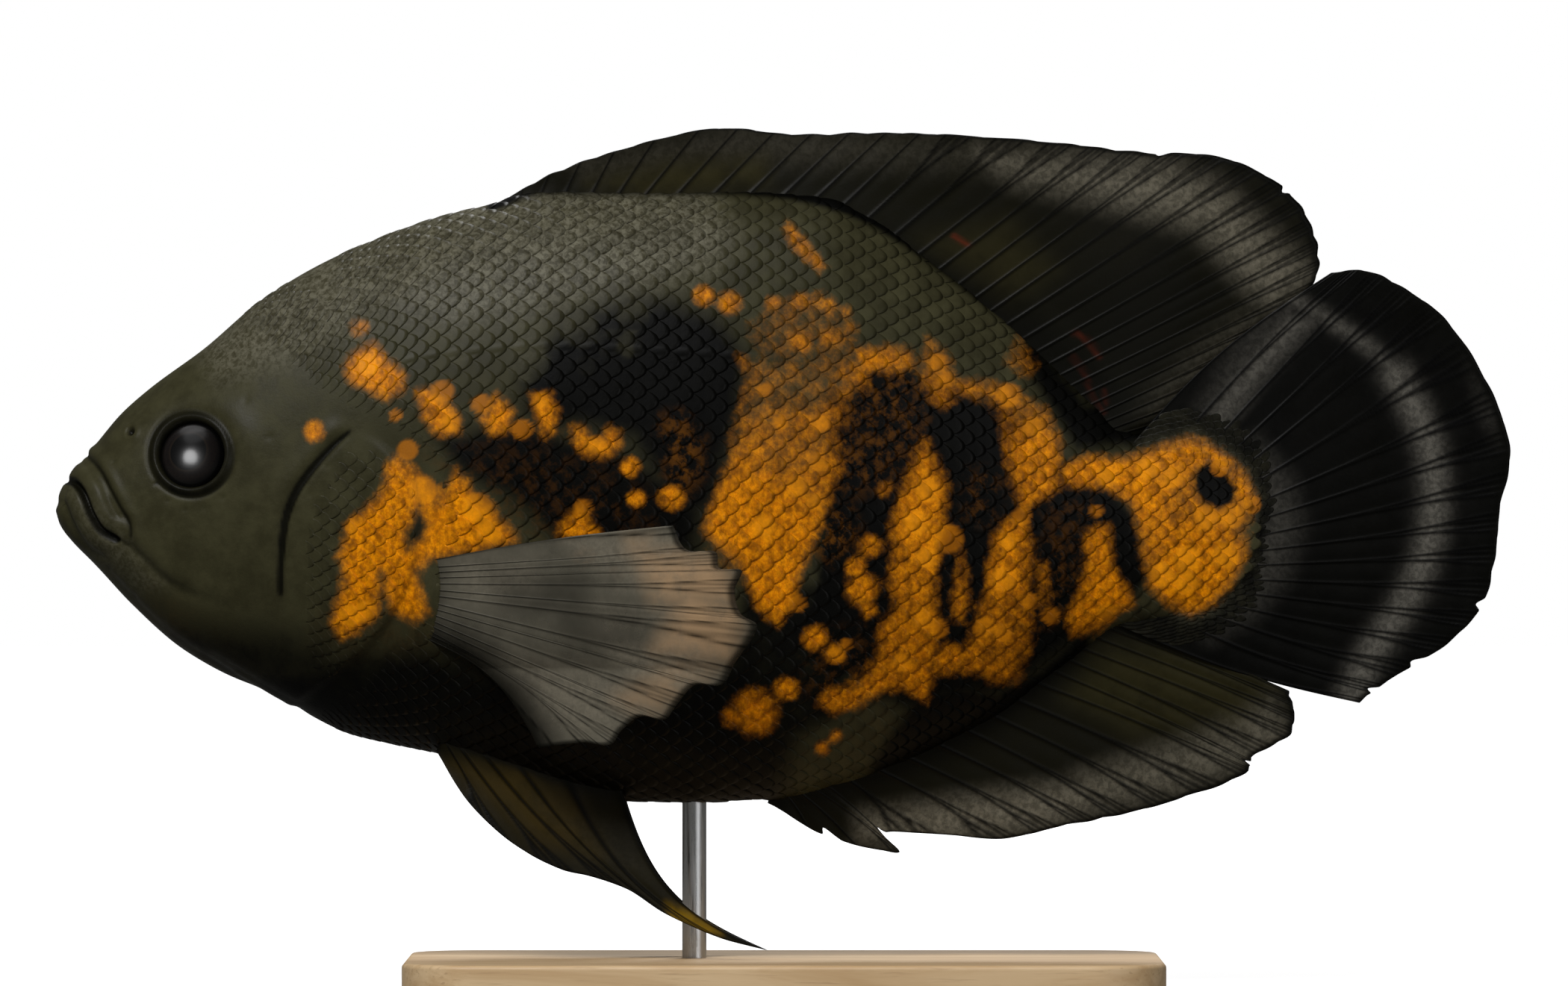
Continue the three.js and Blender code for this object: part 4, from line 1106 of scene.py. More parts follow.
def fin_lines(name, side):
    """The roots and tips of a fin's guides, and their bows."""
    guides = FIN_GUIDES[name]
    if name == "pectoral":
        heights = np.linspace(*PECTORAL_ROOT_HEIGHTS, len(guides))
        roots = [[PECTORAL_ROOT - FIN_SINK / 2, height] for height in heights]
        return roots, guides, [0.8, *[0] * (len(guides) - 4), 1.2, 2.4, 3.8]
    roots, tips, bows = zip(*guides)
    if name == "dorsal":
        roots = [[place, back_height(place) - FIN_SINK] for place in roots]
    if name in ("anal", "pelvic"):
        roots = [[place, belly_height(place) + FIN_SINK] for place in roots]
    if name == "pelvic" and side == RIGHT:
        # The right one hangs a little lower, so that its tip shows beside the left one's
        tips = [[place, height - (49 - height) / 41] for place, height in tips]
    return roots, tips, bows


def fin_sheet(name, side=0):
    """Functions of the share along the fin (u) and out from its root (v): its middle
    spot, the membrane's half thickness, and how much of a ray lies there."""
    form = FIN_FORMS[name]
    roots, tips, bows = fin_lines(name, side)
    root = curve_through(roots)
    tip = curve_through(tips)
    bow = smooth_line([[i / (len(bows) - 1), b] for i, b in enumerate(bows)])
    wander = rng.random(6) * 6

    def reach(u, span):
        ray = u * (form["rays"] - 1)
        between = np.abs(ray - np.round(ray)) * 2
        depth = form["notch"] * between**1.6 * np.where(ray < form["spines"] - 0.5, 0.9, 1)
        waves = np.sin(97 * u * form["rays"] / 17 + wander[0]) * np.sin(41 * u + wander[1])
        depth += 0.5 * form["notch"] * (1 + waves)
        for split_at, split_depth, split_width in FIN_SPLITS.get(name, []):
            depth += split_depth * smoothstep(split_width, 0, np.abs(u - split_at))
        return 1 - np.minimum((depth - 0.2) / span, 0.4)

    def middle(u, v):
        start = root(u)
        along = tip(u) - start
        span = np.linalg.norm(along, axis=1)
        beside_it = np.column_stack([-along[:, 1], along[:, 0]]) / span[:, None]
        v = v * (1 - (1 - reach(u, span)) * v)
        place, height = (start + along * v[:, None] + beside_it * (bow(u) * np.sin(np.pi * v))[:, None]).T
        ray = u * (form["rays"] - 1)
        pleat = form["pleat"] * smoothstep(0.1, 0.6, v) * np.cos(2 * np.pi * ray) * 0.5
        return np.column_stack([place, fin_lean(name, side, place, height, u, v) + pleat, height]), span

    def ray_share(u, v):
        ray = u * (form["rays"] - 1)
        nearest = np.round(ray)
        branched = nearest >= form["spines"]
        first = 0.17 * smoothstep(0.38, 1, v) * branched
        second = 0.085 * smoothstep(0.68, 1, v) * branched
        width = np.where(branched, 0.1 - 0.035 * v, 0.13 - 0.08 * v) * form["fine"]
        ends = [one * first + two * second for one in (-1, 1) for two in (-1, 1)]
        return np.maximum.reduce([hump(ray - nearest - end, width) for end in ends])

    def membrane(v):
        return form["edge"] + (form["base"] - form["edge"]) * (1 - v) ** form["taper"]

    return middle, membrane, ray_share


# Grey, dark and warm areas of the fins, as (strength, softness, outline), and grey bands,
# as (strength, width, line). The grey is partly the fins' own paler grey and partly painted
# sheen, the bands are painted sheen, and some dark areas are painted shade.
FIN_GREY_AND_SHEEN = {
    "dorsal": [
        (0.22, 5, [
            [106, 170], [140, 177], [176, 175], [200, 174], [196, 169], [160, 170], [130, 171], [110, 167],
        ]),
        (1, 5.5, [
            [190, 172], [206, 171], [228, 170], [240, 164.5], [249, 156], [259, 147], [251, 140], [244, 147],
            [236, 157], [214, 163], [198, 167],
        ]),
        (0.34, 5, [[224, 119], [236, 132], [248, 140], [250, 132], [238, 118], [228, 114]]),
    ],
    "anal": [
        (1, 4.5, [[166, 35], [190, 39], [212, 42], [216, 38], [204, 33], [180, 30], [166, 31]]),
        (0.74, 4.5, [[210, 43], [236, 52], [250, 59], [254, 52], [246, 46], [230, 40], [212, 36]]),
    ],
    "tail": [
        (0.72, 3.4, [[236, 116], [243, 126], [254, 139], [259, 137], [248, 125], [240, 114.5]]),
        (0.3, 4, [[236, 120], [244, 133], [252, 140], [250, 132], [240, 120]]),
        (0.38, 5, [
            [247, 112], [254, 104], [256, 95], [253, 85], [246, 77], [238, 73], [237, 78], [246, 86],
            [248, 98],
        ]),
        (0.35, 3, [[291, 132], [297, 122], [298, 112], [294, 118]]),
    ],
    "pectoral": [
        (0.7, 4, [[106, 92], [126, 94], [136, 88], [128, 84], [112, 87]]),
        (0.55, 5, [[94, 68], [100, 56], [114, 53], [121, 58], [118, 66], [106, 66]]),
        (0.45, 4, [[84, 88], [98, 88], [100, 82], [86, 80]]),
        (0.4, 4, [[112, 79], [130, 79], [130, 74], [112, 73]]),
        (0.74, 4, [[114, 70], [130, 73], [136, 69], [130, 62], [118, 64]]),
        (0.42, 3, [[116, 90], [128, 91], [128, 82], [116, 82]]),
    ],
    "pelvic": [(0.4, 4, [[100, 38], [114, 34], [122, 24], [108, 26]])],
}
FIN_SHEEN_BANDS = {
    "tail": [
        (0.55, 1.8, [[252, 143.6], [256, 141.4], [262, 138], [268, 134], [273, 130], [277.4, 124.6]]),
        (0.95, 3, [
            [276.6, 126], [280.2, 119], [283, 112], [284.2, 104], [284, 96], [282, 88], [278.4, 80],
            [275, 74.6], [271, 68.6], [267, 60],
        ]),
    ],
}
FIN_DARK_AND_SHADE = {
    "dorsal": [
        (0.72, 5, [[160, 160], [190, 147], [214, 132], [224, 121], [214, 112], [190, 134], [160, 154]]),
        (0.5, 6, [[205, 142], [230, 153], [241, 145], [236, 134], [222, 124], [210, 128]]),
    ],
    "tail": [
        (0.85, 4, [
            [268, 143], [286, 134], [296, 118], [298, 100], [292, 80], [303, 74], [306, 120], [286, 148],
        ]),
        (0.5, 4, [[252, 124], [266, 130], [276, 112], [276, 86], [266, 72], [256, 72], [260, 98]]),
    ],
    "pectoral": [
        # Painted shadow along the pectoral fin's lower front edge
        (0.95, 5, [[76, 77], [86, 73], [97, 63], [102, 55], [106, 44], [86, 46], [72, 66]]),
        (0.4, 4, [[90, 86], [110, 85], [112, 77], [92, 77]]),
        (0.34, 4, [[103, 79], [122, 78], [121, 71], [105, 69]]),
        # Painted shade at the pectoral fin's root, where it meets the body
        (0.6, 4, [[72, 92], [79, 90], [80, 70], [72, 70]]),
    ],
    "anal": [(0.4, 4, [[146, 44], [180, 52], [210, 72], [216, 66], [184, 46], [148, 38]])],
}
FIN_WARM = {
    "dorsal": [
        (0.75, 4, [[110, 166], [126, 170], [146, 171], [146, 166], [122, 163]]),
        (0.5, 5, [[178, 154], [196, 158], [206, 148], [196, 140], [184, 148]]),
    ],
    "anal": [(0.6, 5, [[214, 70], [232, 70], [250, 62], [244, 54], [222, 52], [208, 60]])],
    "tail": [],
    "pectoral": [
        (0.8, 4, [[120, 90], [137, 89], [140, 80], [124, 80]]),
        (0.8, 4, [[130, 82], [142, 78], [139, 68], [124, 70]]),
        (0.45, 4, [[116, 60], [128, 68], [138, 68], [132, 63], [122, 56]]),
        (0.4, 3, [[118, 93], [123, 93], [123, 90], [118, 90]]),
    ],
    "pelvic": [
        (0.12, 4, [[82, 46], [96, 46], [108, 38], [112, 28], [100, 30], [88, 40]]),
        (1, 1.6, [[126, 17.6], [131, 15.6], [137, 11.6], [133, 11.2], [127, 14.6]]),
    ],
}
# Thin red lines on the dorsal fin
RED_TRACES = [
    [[209.5, 130], [212, 126.5], [213.5, 122], [216, 118.5]],
    [[210, 135], [212.5, 133.4], [215, 130]],
    [[216, 123], [216.4, 120.4]],
    [[185, 155], [188, 153]],
]


def make_fin(piece_name, name, side, material):
    form = FIN_FORMS[name]
    middle, membrane, ray_share = fin_sheet(name, side)
    columns = (form["rays"] - 1) * form["lines"] + 1
    rows = form["rows"] + 1
    u = np.repeat(np.linspace(0, 1, columns), rows)
    v = np.tile(np.linspace(0, 1, rows), columns)
    spots, span = middle(u, v)
    ray = ray_share(u, v)
    raised = smoothstep(*form["ridge_from"], v) * (1 - 0.6 * v) * (1 - 0.5 * smoothstep(0.96, 1, v))
    half = membrane(v) * (1 - 0.4 * smoothstep(0.97, 1, v)) + form["ridge"] * raised * ray
    near, far = spots.copy(), spots.copy()
    near[:, 1] -= half
    far[:, 1] += half
    count = len(spots)
    sheet = grid_faces(columns, rows)
    column = np.arange(columns)
    row = np.arange(rows)
    rim = np.concatenate([
        column * rows, (columns - 1) * rows + row[1:], column[::-1][1:] * rows + rows - 1, row[::-1][1:-1],
    ])
    rim_faces = np.column_stack([rim, rim + count, np.roll(rim, -1) + count, np.roll(rim, -1)])
    both_sides = np.vstack([near, far])
    faces = turned_out(both_sides, np.vstack([sheet, sheet[:, ::-1] + count, rim_faces]))

    place, height = spots[:, 0], spots[:, 2]
    # Grey, partly painted sheen, with bands of painted sheen
    grey = strongest(place, height, FIN_GREY_AND_SHEEN.get(name, []))
    for strength, width, line in FIN_SHEEN_BANDS.get(name, []):
        grey = np.maximum(grey, strength * hump(beside(place, height, line, 12)[0], width))
    red = np.zeros(count)
    for line in RED_TRACES if name == "dorsal" else []:
        distance = beside(place, height, line, 3)[0]
        red = np.maximum(red, 0.6 * hump(distance, 0.5) * (distance < 2.9))
    soft_ray = np.round(u * (form["rays"] - 1)) >= form["spines"]
    attributes = {
        "ray": ray, "along": v * span * soft_ray, "out": v, "grey": grey, "red": red,
        "warm": strongest(place, height, FIN_WARM.get(name, [])),
        # Dark areas, on the pectoral fins partly painted shade
        "dark": strongest(place, height, FIN_DARK_AND_SHADE.get(name, [])),
    }
    attributes = {key: np.tile(values, 2) for key, values in attributes.items()}
    piece = add_mesh(piece_name, both_sides, faces, material, attributes)
    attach(piece, "root")
    return piece


# Small scales that run out over the base of the tail fin

BASE_SCALE_PITCH = 2.3


def make_tail_base_scales(material):
    middle, membrane = fin_sheet("tail")[:2]
    shares = np.linspace(0, 1, 400)
    foot, span = middle(shares, np.zeros(400))
    arc = np.concatenate([[0], np.cumsum(np.linalg.norm(np.diff(foot, axis=0), axis=1))])
    across_count = int(arc[-1] / (BASE_SCALE_PITCH * 0.98))
    seeds = []
    for face in (LEFT, RIGHT):
        for line in range(int(60 / (BASE_SCALE_PITCH * 0.5))):
            at = (np.arange(across_count) + 0.5 * (line % 2) + 0.5) / across_count
            u = np.interp(at * arc[-1], arc, shares)
            v = (0.5 + line * BASE_SCALE_PITCH * 0.5) / np.interp(u, shares, span)
            limit = 0.2 + 0.06 * np.sin(9 * u)
            strength = np.clip((limit - v) / limit * 2.2, 0, 1)
            keep = (v < limit) & (u > 0.012) & (u < 0.988) & (strength > 0.15)
            seeds.append(np.column_stack([u, v, strength, np.full(len(u), face)])[keep])
    seeds = np.vstack(seeds)
    seeds[:, 0] += rng.normal(0, 0.0006, len(seeds))
    u0, v0, strength, face = seeds.T
    span0 = np.interp(u0, shares, span)

    def surface(seed, along, across, a, b):
        v = np.clip(v0[seed] + along / span0[seed], 0, 1)
        u = np.clip(u0[seed] + across / (arc[-1] * (1 + 0.5 * v)), 0, 1)

        def skin_of(u, v):
            spots, span = middle(u, v)
            spots[:, 1] += face[seed] * (membrane(v) + 0.16)
            return spots

        spots = skin_of(u, v)
        step = 0.004
        along_fin = skin_of(u + step, v) - skin_of(u - step, v)
        out = unit(np.cross(along_fin, skin_of(u, v + step) - skin_of(u, v - step)))
        out *= np.sign(out[:, 1] * face[seed])[:, None]
        colours = markings(spots[:, 0], spots[:, 2], np.where(face[seed] < 0, 0.5, 1.5))
        colours["fold"] = np.zeros(len(spots))
        colours["black"] = np.maximum(0.6 * colours["black"], 0.66 * (1 - colours["orange"]))
        colours["grey"] = np.maximum(colours["grey"], 0.5)
        return spots, out, colours

    roots = np.column_stack([0.02 + 0.96 * u0, np.where(face < 0, 0.02, 0.52) + 0.46 * np.clip(v0, 0, 1)])
    pitch = BASE_SCALE_PITCH * (0.7 + 0.3 * strength)
    make_plates(
        "tail_base_scales", surface, seeds, 1.4 * pitch, 1.12 * pitch, strength * 0.8, roots, material,
        0.12,
    )


# Turned shapes

def lathe(profile, around, centre, first, second, axis):
    """Spots, ring by ring, of a shape turned about an axis from [radius, height] pairs."""
    turn = np.linspace(0, 2 * np.pi, around, endpoint=False)
    radius, height = np.array(profile, float).T[:, :, None, None]
    ring = np.cos(turn)[:, None] * first + np.sin(turn)[:, None] * second
    return (centre + radius * ring + height * axis).reshape(-1, 3)


# Eyes

EYE_BULGE = 0.35
EYE_SPOKES = 96


def make_eye(side, material):
    """An eyeball seen through the orbit, set square on the cheek. Its front bulges."""
    step = 2.0
    place, height = EYE_SPOT
    along = half_width(place + step, height) - half_width(place - step, height)
    up = half_width(place, height + step) - half_width(place, height - step)
    out = unit(np.array([-along, 2 * step * side, -up]))
    centre = np.array([place, side * half_width(place, height), height]) - out * EYE_SINK
    first = unit(np.cross(out, [0, 0, 1.0]))
    angle = np.linspace(0, np.pi, 61)[1:-1]
    in_front = angle < np.pi / 2
    radius = EYE_RADIUS * np.sin(angle)
    depth = EYE_DEPTH * np.cos(angle) + EYE_BULGE * hump(radius, 4.2) * in_front
    spots = lathe(np.column_stack([radius, depth]), EYE_SPOKES, centre, first, np.cross(out, first), out)
    spots = np.vstack([spots, centre + out * (EYE_DEPTH + EYE_BULGE), centre - out * EYE_DEPTH])
    away = np.repeat(np.where(in_front, radius, EYE_RADIUS), EYE_SPOKES)
    spoke = np.tile(np.linspace(0, 2 * np.pi, EYE_SPOKES, endpoint=False), len(angle))
    attributes = {"away": np.append(away, [0, EYE_RADIUS]), "spoke": np.append(spoke, [0, 0])}
    faces = closed_faces(spots, len(angle), EYE_SPOKES)
    piece = add_mesh(f"eyeball_{SIDE_NAMES[side]}", spots, faces, material, attributes)
    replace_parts(piece, f"eye_{SIDE_NAMES[side]}")
    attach(piece, "root")
    return piece


# Stand

BASE_LENGTH, BASE_WIDTH, BASE_HEIGHT = 156, 92, 6
BASE_CORNER, BASE_EDGE = 16, 1
ROD_RADIUS, ROD_PLACE, ROD_SOCKET, ROD_BEVEL = 2.5, 131.5, 3, 0.35


def make_rod(material):
    top = belly_height(ROD_PLACE) + ROD_SOCKET
    foot = BASE_HEIGHT - ROD_SOCKET
    profile = [
        (ROD_RADIUS - ROD_BEVEL, foot), (ROD_RADIUS, foot + ROD_BEVEL),
        (ROD_RADIUS, top - ROD_BEVEL), (ROD_RADIUS - ROD_BEVEL, top),
    ]
    around = 64
    spots = lathe(profile, around, np.array([ROD_PLACE, 0, 0]), *np.eye(3))
    spots = np.vstack([spots, [ROD_PLACE, 0, foot], [ROD_PLACE, 0, top]])
    piece = add_mesh("rod", spots, closed_faces(spots, len(profile), around), material)
    piece.modifiers.new("crisp", "EDGE_SPLIT").split_angle = math.radians(35)
    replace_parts(piece, "stand_rod")
    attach(piece, "root")


def rounded_rectangle(length, width, corner, steps=20):
    """Corner arcs of a rounded rectangle, anticlockwise."""
    arcs = []
    for start, x, y in ((-90, 1, -1), (0, 1, 1), (90, -1, 1), (180, -1, -1)):
        angle = np.radians(np.linspace(start, start + 90, steps))
        along = x * (length / 2 - corner) + corner * np.cos(angle)
        arcs.append(np.column_stack([along, y * (width / 2 - corner) + corner * np.sin(angle)]))
    return np.vstack(arcs)


def make_base(material):
    """The wooden base, with a softly rounded edge and a chamfer under it."""
    rings = [(BASE_EDGE, 0), (0, BASE_EDGE)]
    for t in np.linspace(0, math.pi / 2, 7):
        rings.append((BASE_EDGE * (1 - math.cos(t)), BASE_HEIGHT - BASE_EDGE * (1 - math.sin(t))))
    rings += [(BASE_EDGE + 6, BASE_HEIGHT), (BASE_EDGE + 12, BASE_HEIGHT)]
    spots = []
    for inset, height in rings:
        corner = max(BASE_CORNER - inset, 0.5)
        plan = rounded_rectangle(BASE_LENGTH - 2 * inset, BASE_WIDTH - 2 * inset, corner)
        plan += [TOTAL_LENGTH / 2, 0]
        spots.append(np.column_stack([plan, np.full(len(plan), height)]))
    around = len(spots[0])
    sides = grid_faces(len(rings), around, wrapped=True)[:, ::-1]
    under = np.arange(around)[::-1][None, :]
    top = ((len(rings) - 1) * around + np.arange(around))[None, :]
    piece = add_mesh("base", np.vstack(spots), [sides, under, top], material)
    piece.modifiers.new("crisp", "EDGE_SPLIT").split_angle = math.radians(40)
    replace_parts(piece, "stand_base")
    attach(piece, "root")


# Node helpers

def add_node(tree, kind, sockets=None, **settings):
    """A shader node. sockets sets or links its inputs by name or number."""
    node = tree.nodes.new(kind)
    for key, value in settings.items():
        setattr(node, key, value)
    for key, value in (sockets or {}).items():
        if isinstance(value, bpy.types.NodeSocket):
            tree.links.new(value, node.inputs[key])
        else:
            node.inputs[key].default_value = value
    return node


def tree_of(*values):
    """The node tree that the first socket among the values belongs to."""
    return next(value.id_data for value in values if isinstance(value, bpy.types.NodeSocket))


def noise(coords, scale, detail, rough, distortion=0):
    sockets = {"Vector": coords, "Scale": scale, "Detail": detail, "Roughness": rough}
    sockets["Distortion"] = distortion
    return add_node(tree_of(coords), "ShaderNodeTexNoise", sockets).outputs["Fac"]


def maths(operation, first, second, clamp=False):
    settings = dict(operation=operation, use_clamp=clamp)
    return add_node(tree_of(first, second), "ShaderNodeMath", {0: first, 1: second}, **settings).outputs[0]


def plus(first, second, clamp=False):
    return maths("ADD", first, second, clamp)


def minus(first, second):
    return maths("SUBTRACT", first, second)


def times(first, second):
    return maths("MULTIPLY", first, second)


def spread(value, low, high, to_low=0.0, to_high=1.0):
    """A soft ramp of a value from one range to another."""
    sockets = {"Value": value, "From Min": low, "From Max": high, "To Min": to_low, "To Max": to_high}
    node = add_node(tree_of(value), "ShaderNodeMapRange", sockets, interpolation_type="SMOOTHSTEP")
    return node.outputs["Result"]


def mix(share, first, second, blend="MIX"):
    tree = tree_of(share, first, second)
    sockets = {0: share, 6: first, 7: second}
    return add_node(tree, "ShaderNodeMix", sockets, data_type="RGBA", blend_type=blend).outputs[2]


def rgb(*parts):
    """A colour from the usual 0 to 255 numbers."""
    shares = [part / 255 for part in parts]
    return (*[s / 12.92 if s <= 0.04045 else ((s + 0.055) / 1.055) ** 2.4 for s in shares], 1)


def object_coords(tree):
    return add_node(tree, "ShaderNodeTexCoord").outputs["Object"]


def stretched_coords(tree, *scale):
    sockets = {"Vector": object_coords(tree), "Scale": scale}
    return add_node(tree, "ShaderNodeMapping", sockets).outputs[0]


def painted(tree, key):
    """A strength that the mesh carries at its points."""
    return add_node(tree, "ShaderNodeAttribute", attribute_name=key).outputs["Fac"]


def new_material(name):
    material = bpy.data.materials.new(name)
    material.use_nodes = True
    tree = material.node_tree
    return material, tree, tree.nodes["Principled BSDF"].inputs


def set_gloss(shader, specular, coat, coat_roughness):
    shader["Specular IOR Level"].default_value = specular
    shader["Coat Weight"].default_value = coat
    shader["Coat Roughness"].default_value = coat_roughness


def new_paint_group(name, strengths, colours):
    """A shader node group that turns strengths and colours into a finish, with its inputs
    and outputs."""
    tree = bpy.data.node_groups.new(name, "ShaderNodeTree")
    tree.interface.new_socket(name="Coords", in_out="INPUT", socket_type="NodeSocketVector")
    for socket in strengths:
        tree.interface.new_socket(name=socket, in_out="INPUT", socket_type="NodeSocketFloat")
    for socket in colours:
        tree.interface.new_socket(name=socket, in_out="INPUT", socket_type="NodeSocketColor")
    for socket, kind in (("Colour", "Color"), ("Roughness", "Float"), ("Relief", "Float")):
        tree.interface.new_socket(name=socket, in_out="OUTPUT", socket_type=f"NodeSocket{kind}")
    return tree, tree.nodes.new("NodeGroupInput").outputs, tree.nodes.new("NodeGroupOutput").inputs


def painted_material(name, group, strengths, colours, relief, relief_height, gloss):
    """A material finished by a paint group, which reads the strengths that the mesh
    carries under the same names in small letters. relief_height is in millimetres."""
    material, tree, shader = new_material(name)
    sockets = {"Coords": object_coords(tree), **colours}
    for strength in strengths:
        sockets[strength] = painted(tree, strength.lower().replace(" ", "_"))
    paint = add_node(tree, "ShaderNodeGroup", sockets, node_tree=group).outputs
    bump = {"Height": paint["Relief"], "Strength": relief, "Distance": relief_height * MM}
    tree.links.new(paint["Colour"], shader["Base Color"])
    tree.links.new(paint["Roughness"], shader["Roughness"])
    tree.links.new(add_node(tree, "ShaderNodeBump", bump).outputs["Normal"], shader["Normal"])
    set_gloss(shader, *gloss)
    return material, tree, shader, paint


# Finishes

BODY_STRENGTHS = "Orange", "Flecks", "Round spot", "Black", "Grey", "Warm", "Fold"
FIN_STRENGTHS = "Ray", "Along", "Out", "Grey", "Warm", "Red", "Dark"
FIN_COLOURS = "Membrane", "Ray colour", "Grey and sheen colour", "Warm colour"
# Specular level, and weight and roughness of the coat
BODY_GLOSS = 0.06, 0.03, 0.25
FIN_GLOSS = 0.05, 0.015, 0.3


def body_paint_group():
    """Colour, roughness and fine relief of the skin and scales, from painted strengths."""
    tree, given, result = new_paint_group("body_paint", BODY_STRENGTHS, ())
    coords = given["Coords"]
    cloud = noise(coords, 190, 7, 0.68)
    tuft = noise(coords, 430, 6, 0.66)
    grain = noise(coords, 1100, 5, 0.7)
    curl = noise(coords, 980, 7, 0.66, 0.5)

    # The orange breaks up into tufts and flecks at its edges and where it is faint
    broken = plus(times(minus(tuft, 0.5), 0.62), times(minus(grain, 0.5), 0.18))
    drive = plus(given["Orange"], times(broken, spread(given["Orange"], 0.02, 0.25)))
    orange = spread(drive, 0.17, 1.0)

    olive = mix(spread(cloud, 0.3, 0.7), rgb(45, 43, 27), rgb(57, 55, 36))
    # Mottled grey, partly the back's own grey and partly painted light on the back and chin
    grey = mix(spread(curl, 0.38, 0.62), rgb(58, 55, 40), rgb(94, 91, 76))
    base = mix(times(given["Grey"], spread(cloud, 0.2, 0.55, 0.55, 1)), olive, grey)
    brown = mix(spread(grain, 0.35, 0.7), rgb(30, 20, 4), rgb(50, 33, 8))
    base = mix(times(given["Warm"], spread(cloud, 0.3, 0.7)), base, brown)
    # The black markings, with painted shade on the belly and under the tail stem
    dark = spread(plus(given["Black"], times(minus(cloud, 0.5), 0.5)), 0.12, 0.8)
    base = mix(dark, base, rgb(3, 3, 2))
    base = mix(times(given["Flecks"], spread(tuft, 0.44, 0.64)), base, rgb(92, 54, 6))

    upright = add_node(tree, "ShaderNodeVectorMath", {0: coords, 1: (1, 1, 0.8)}, operation="MULTIPLY")
    streak = noise(upright.outputs[0], 640, 7, 0.64)
    bright = mix(spread(grain, 0.34, 0.64), rgb(202, 114, 0), rgb(238, 148, 3))
    fiery = mix(spread(streak, 0.3, 0.64), rgb(140, 80, 2), bright)
    fiery = mix(times(given["Round spot"], 0.6), fiery, rgb(238, 150, 12))
    base = mix(times(given["Round spot"], 0.5), base, rgb(196, 116, 8))
    # Painted shade in the creases, pits and hollows of the head
    colour = mix(times(given["Fold"], 0.9), mix(orange, base, fiery), rgb(2, 2, 1))
    tree.links.new(colour, result["Colour"])
    tree.links.new(plus(spread(cloud, 0.3, 0.7, 0.36, 0.5), times(orange, 0.06)), result["Roughness"])
    tree.links.new(plus(noise(coords, 2600, 3, 0.6), times(grain, 1.5)), result["Relief"])
    return tree


def skin_material(group):
    return painted_material("skin_finish", group, BODY_STRENGTHS, {}, 0.3, 0.12, BODY_GLOSS)[0]


def scale_material(group):
    """Like the skin, with each scale a little lighter or darker and dark at its rear rim."""
    material, tree, shader, paint = painted_material(
        "scale_finish", group, BODY_STRENGTHS, {}, 0.25, 0.1, BODY_GLOSS
    )
    shade = spread(painted(tree, "shade"), 0, 1, 0.86, 1.1)
    shade = add_node(tree, "ShaderNodeCombineColor", {0: shade, 1: shade, 2: shade}).outputs[0]
    toned = mix(1.0, paint["Colour"], shade, "MULTIPLY")
    toned = mix(times(painted(tree, "rim"), 0.22), toned, rgb(8, 7, 4))
    tree.links.new(toned, shader["Base Color"])
    return material


def fin_paint_group():
    """Colour and relief of a fin from its rays and painted strengths."""
    tree, given, result = new_paint_group("fin_paint", FIN_STRENGTHS, FIN_COLOURS)
    cloud = noise(given["Coords"], 150, 6, 0.65)
    curl = noise(given["Coords"], 860, 7, 0.66, 0.4)
    colour = mix(spread(cloud, 0.3, 0.7, 0.0, 0.3), given["Membrane"], rgb(12, 12, 9))
    # Grey patches and bands, partly painted sheen
    colour = mix(times(given["Grey"], spread(curl, 0.36, 0.64, 0.48, 1)), colour, given["Grey and sheen colour"])
    colour = mix(times(given["Warm"], spread(cloud, 0.25, 0.6, 0.35, 1)), colour, given["Warm colour"])
    colour = mix(given["Red"], colour, rgb(92, 34, 18))
    colour = mix(times(given["Ray"], 0.92), colour, given["Ray colour"])
    # Painted shade at the root, where the fin meets the body, and dark at the rim
    colour = mix(spread(given["Out"], 0.0, 0.1, 1, 0), colour, rgb(14, 13, 8))
    colour = mix(spread(given["Out"], 0.966, 0.99, 0, 0.8), colour, rgb(4, 4, 2))
    # Dark areas, with painted shade on the pectoral fins
    colour = mix(given["Dark"], colour, rgb(4, 4, 2))
    tree.links.new(colour, result["Colour"])
    tree.links.new(spread(cloud, 0.3, 0.7, 0.36, 0.5), result["Roughness"])
    jointed = spread(maths("SINE", times(given["Along"], 6.28 / 0.9), 0), 0.55, 0.95)
    tree.links.new(minus(curl, times(times(jointed, given["Ray"]), 0.35)), result["Relief"])
    return tree


def fin_material(name, group, *colours):
    """A fin's finish, from the colours of its membrane, rays, grey areas and warm areas."""
    colours = dict(zip(FIN_COLOURS, colours))
    return painted_material(name, group, FIN_STRENGTHS, colours, 0.35, 0.15, FIN_GLOSS)


def pectoral_material(group):
    """The pectoral fins' membrane is clear enough to show the flank behind it."""
    material, tree, shader = fin_material(
        "pectoral_finish", group, rgb(96, 92, 80), rgb(10, 9, 6), rgb(136, 128, 112), rgb(188, 154, 116)
    )[:3]
    cover = spread(painted(tree, "out"), 0.0, 0.25, 1, 0.8)
    tree.links.new(plus(cover, times(painted(tree, "ray"), 0.5), clamp=True), shader["Alpha"])
    return material


def eye_material():
    """A near-black eye with a very dark red-brown iris and a thin bronze ring."""
    material, tree, shader = new_material("eye_finish")
    away = painted(tree, "away")
    spoke = add_node(tree, "ShaderNodeCombineXYZ", {0: painted(tree, "spoke"), 1: times(away, 0.25)})
    streaks = noise(spoke.outputs[0], 14, 3, 0.6)
    iris = mix(spread(streaks, 0.35, 0.65), rgb(3, 2, 2), rgb(6, 4, 3))
    colour = mix(spread(away, 3.75, 4.0), rgb(1, 1, 1), rgb(9, 6, 4))
    colour = mix(spread(away, 4.05, 4.5), colour, iris)
    colour = mix(spread(away, 5.4, 6.5), colour, rgb(1, 1, 1))
    tree.links.new(colour, shader["Base Color"])
    shader["Roughness"].default_value = 0.3
    set_gloss(shader, 0.12, 0.14, 0.2)
    return material


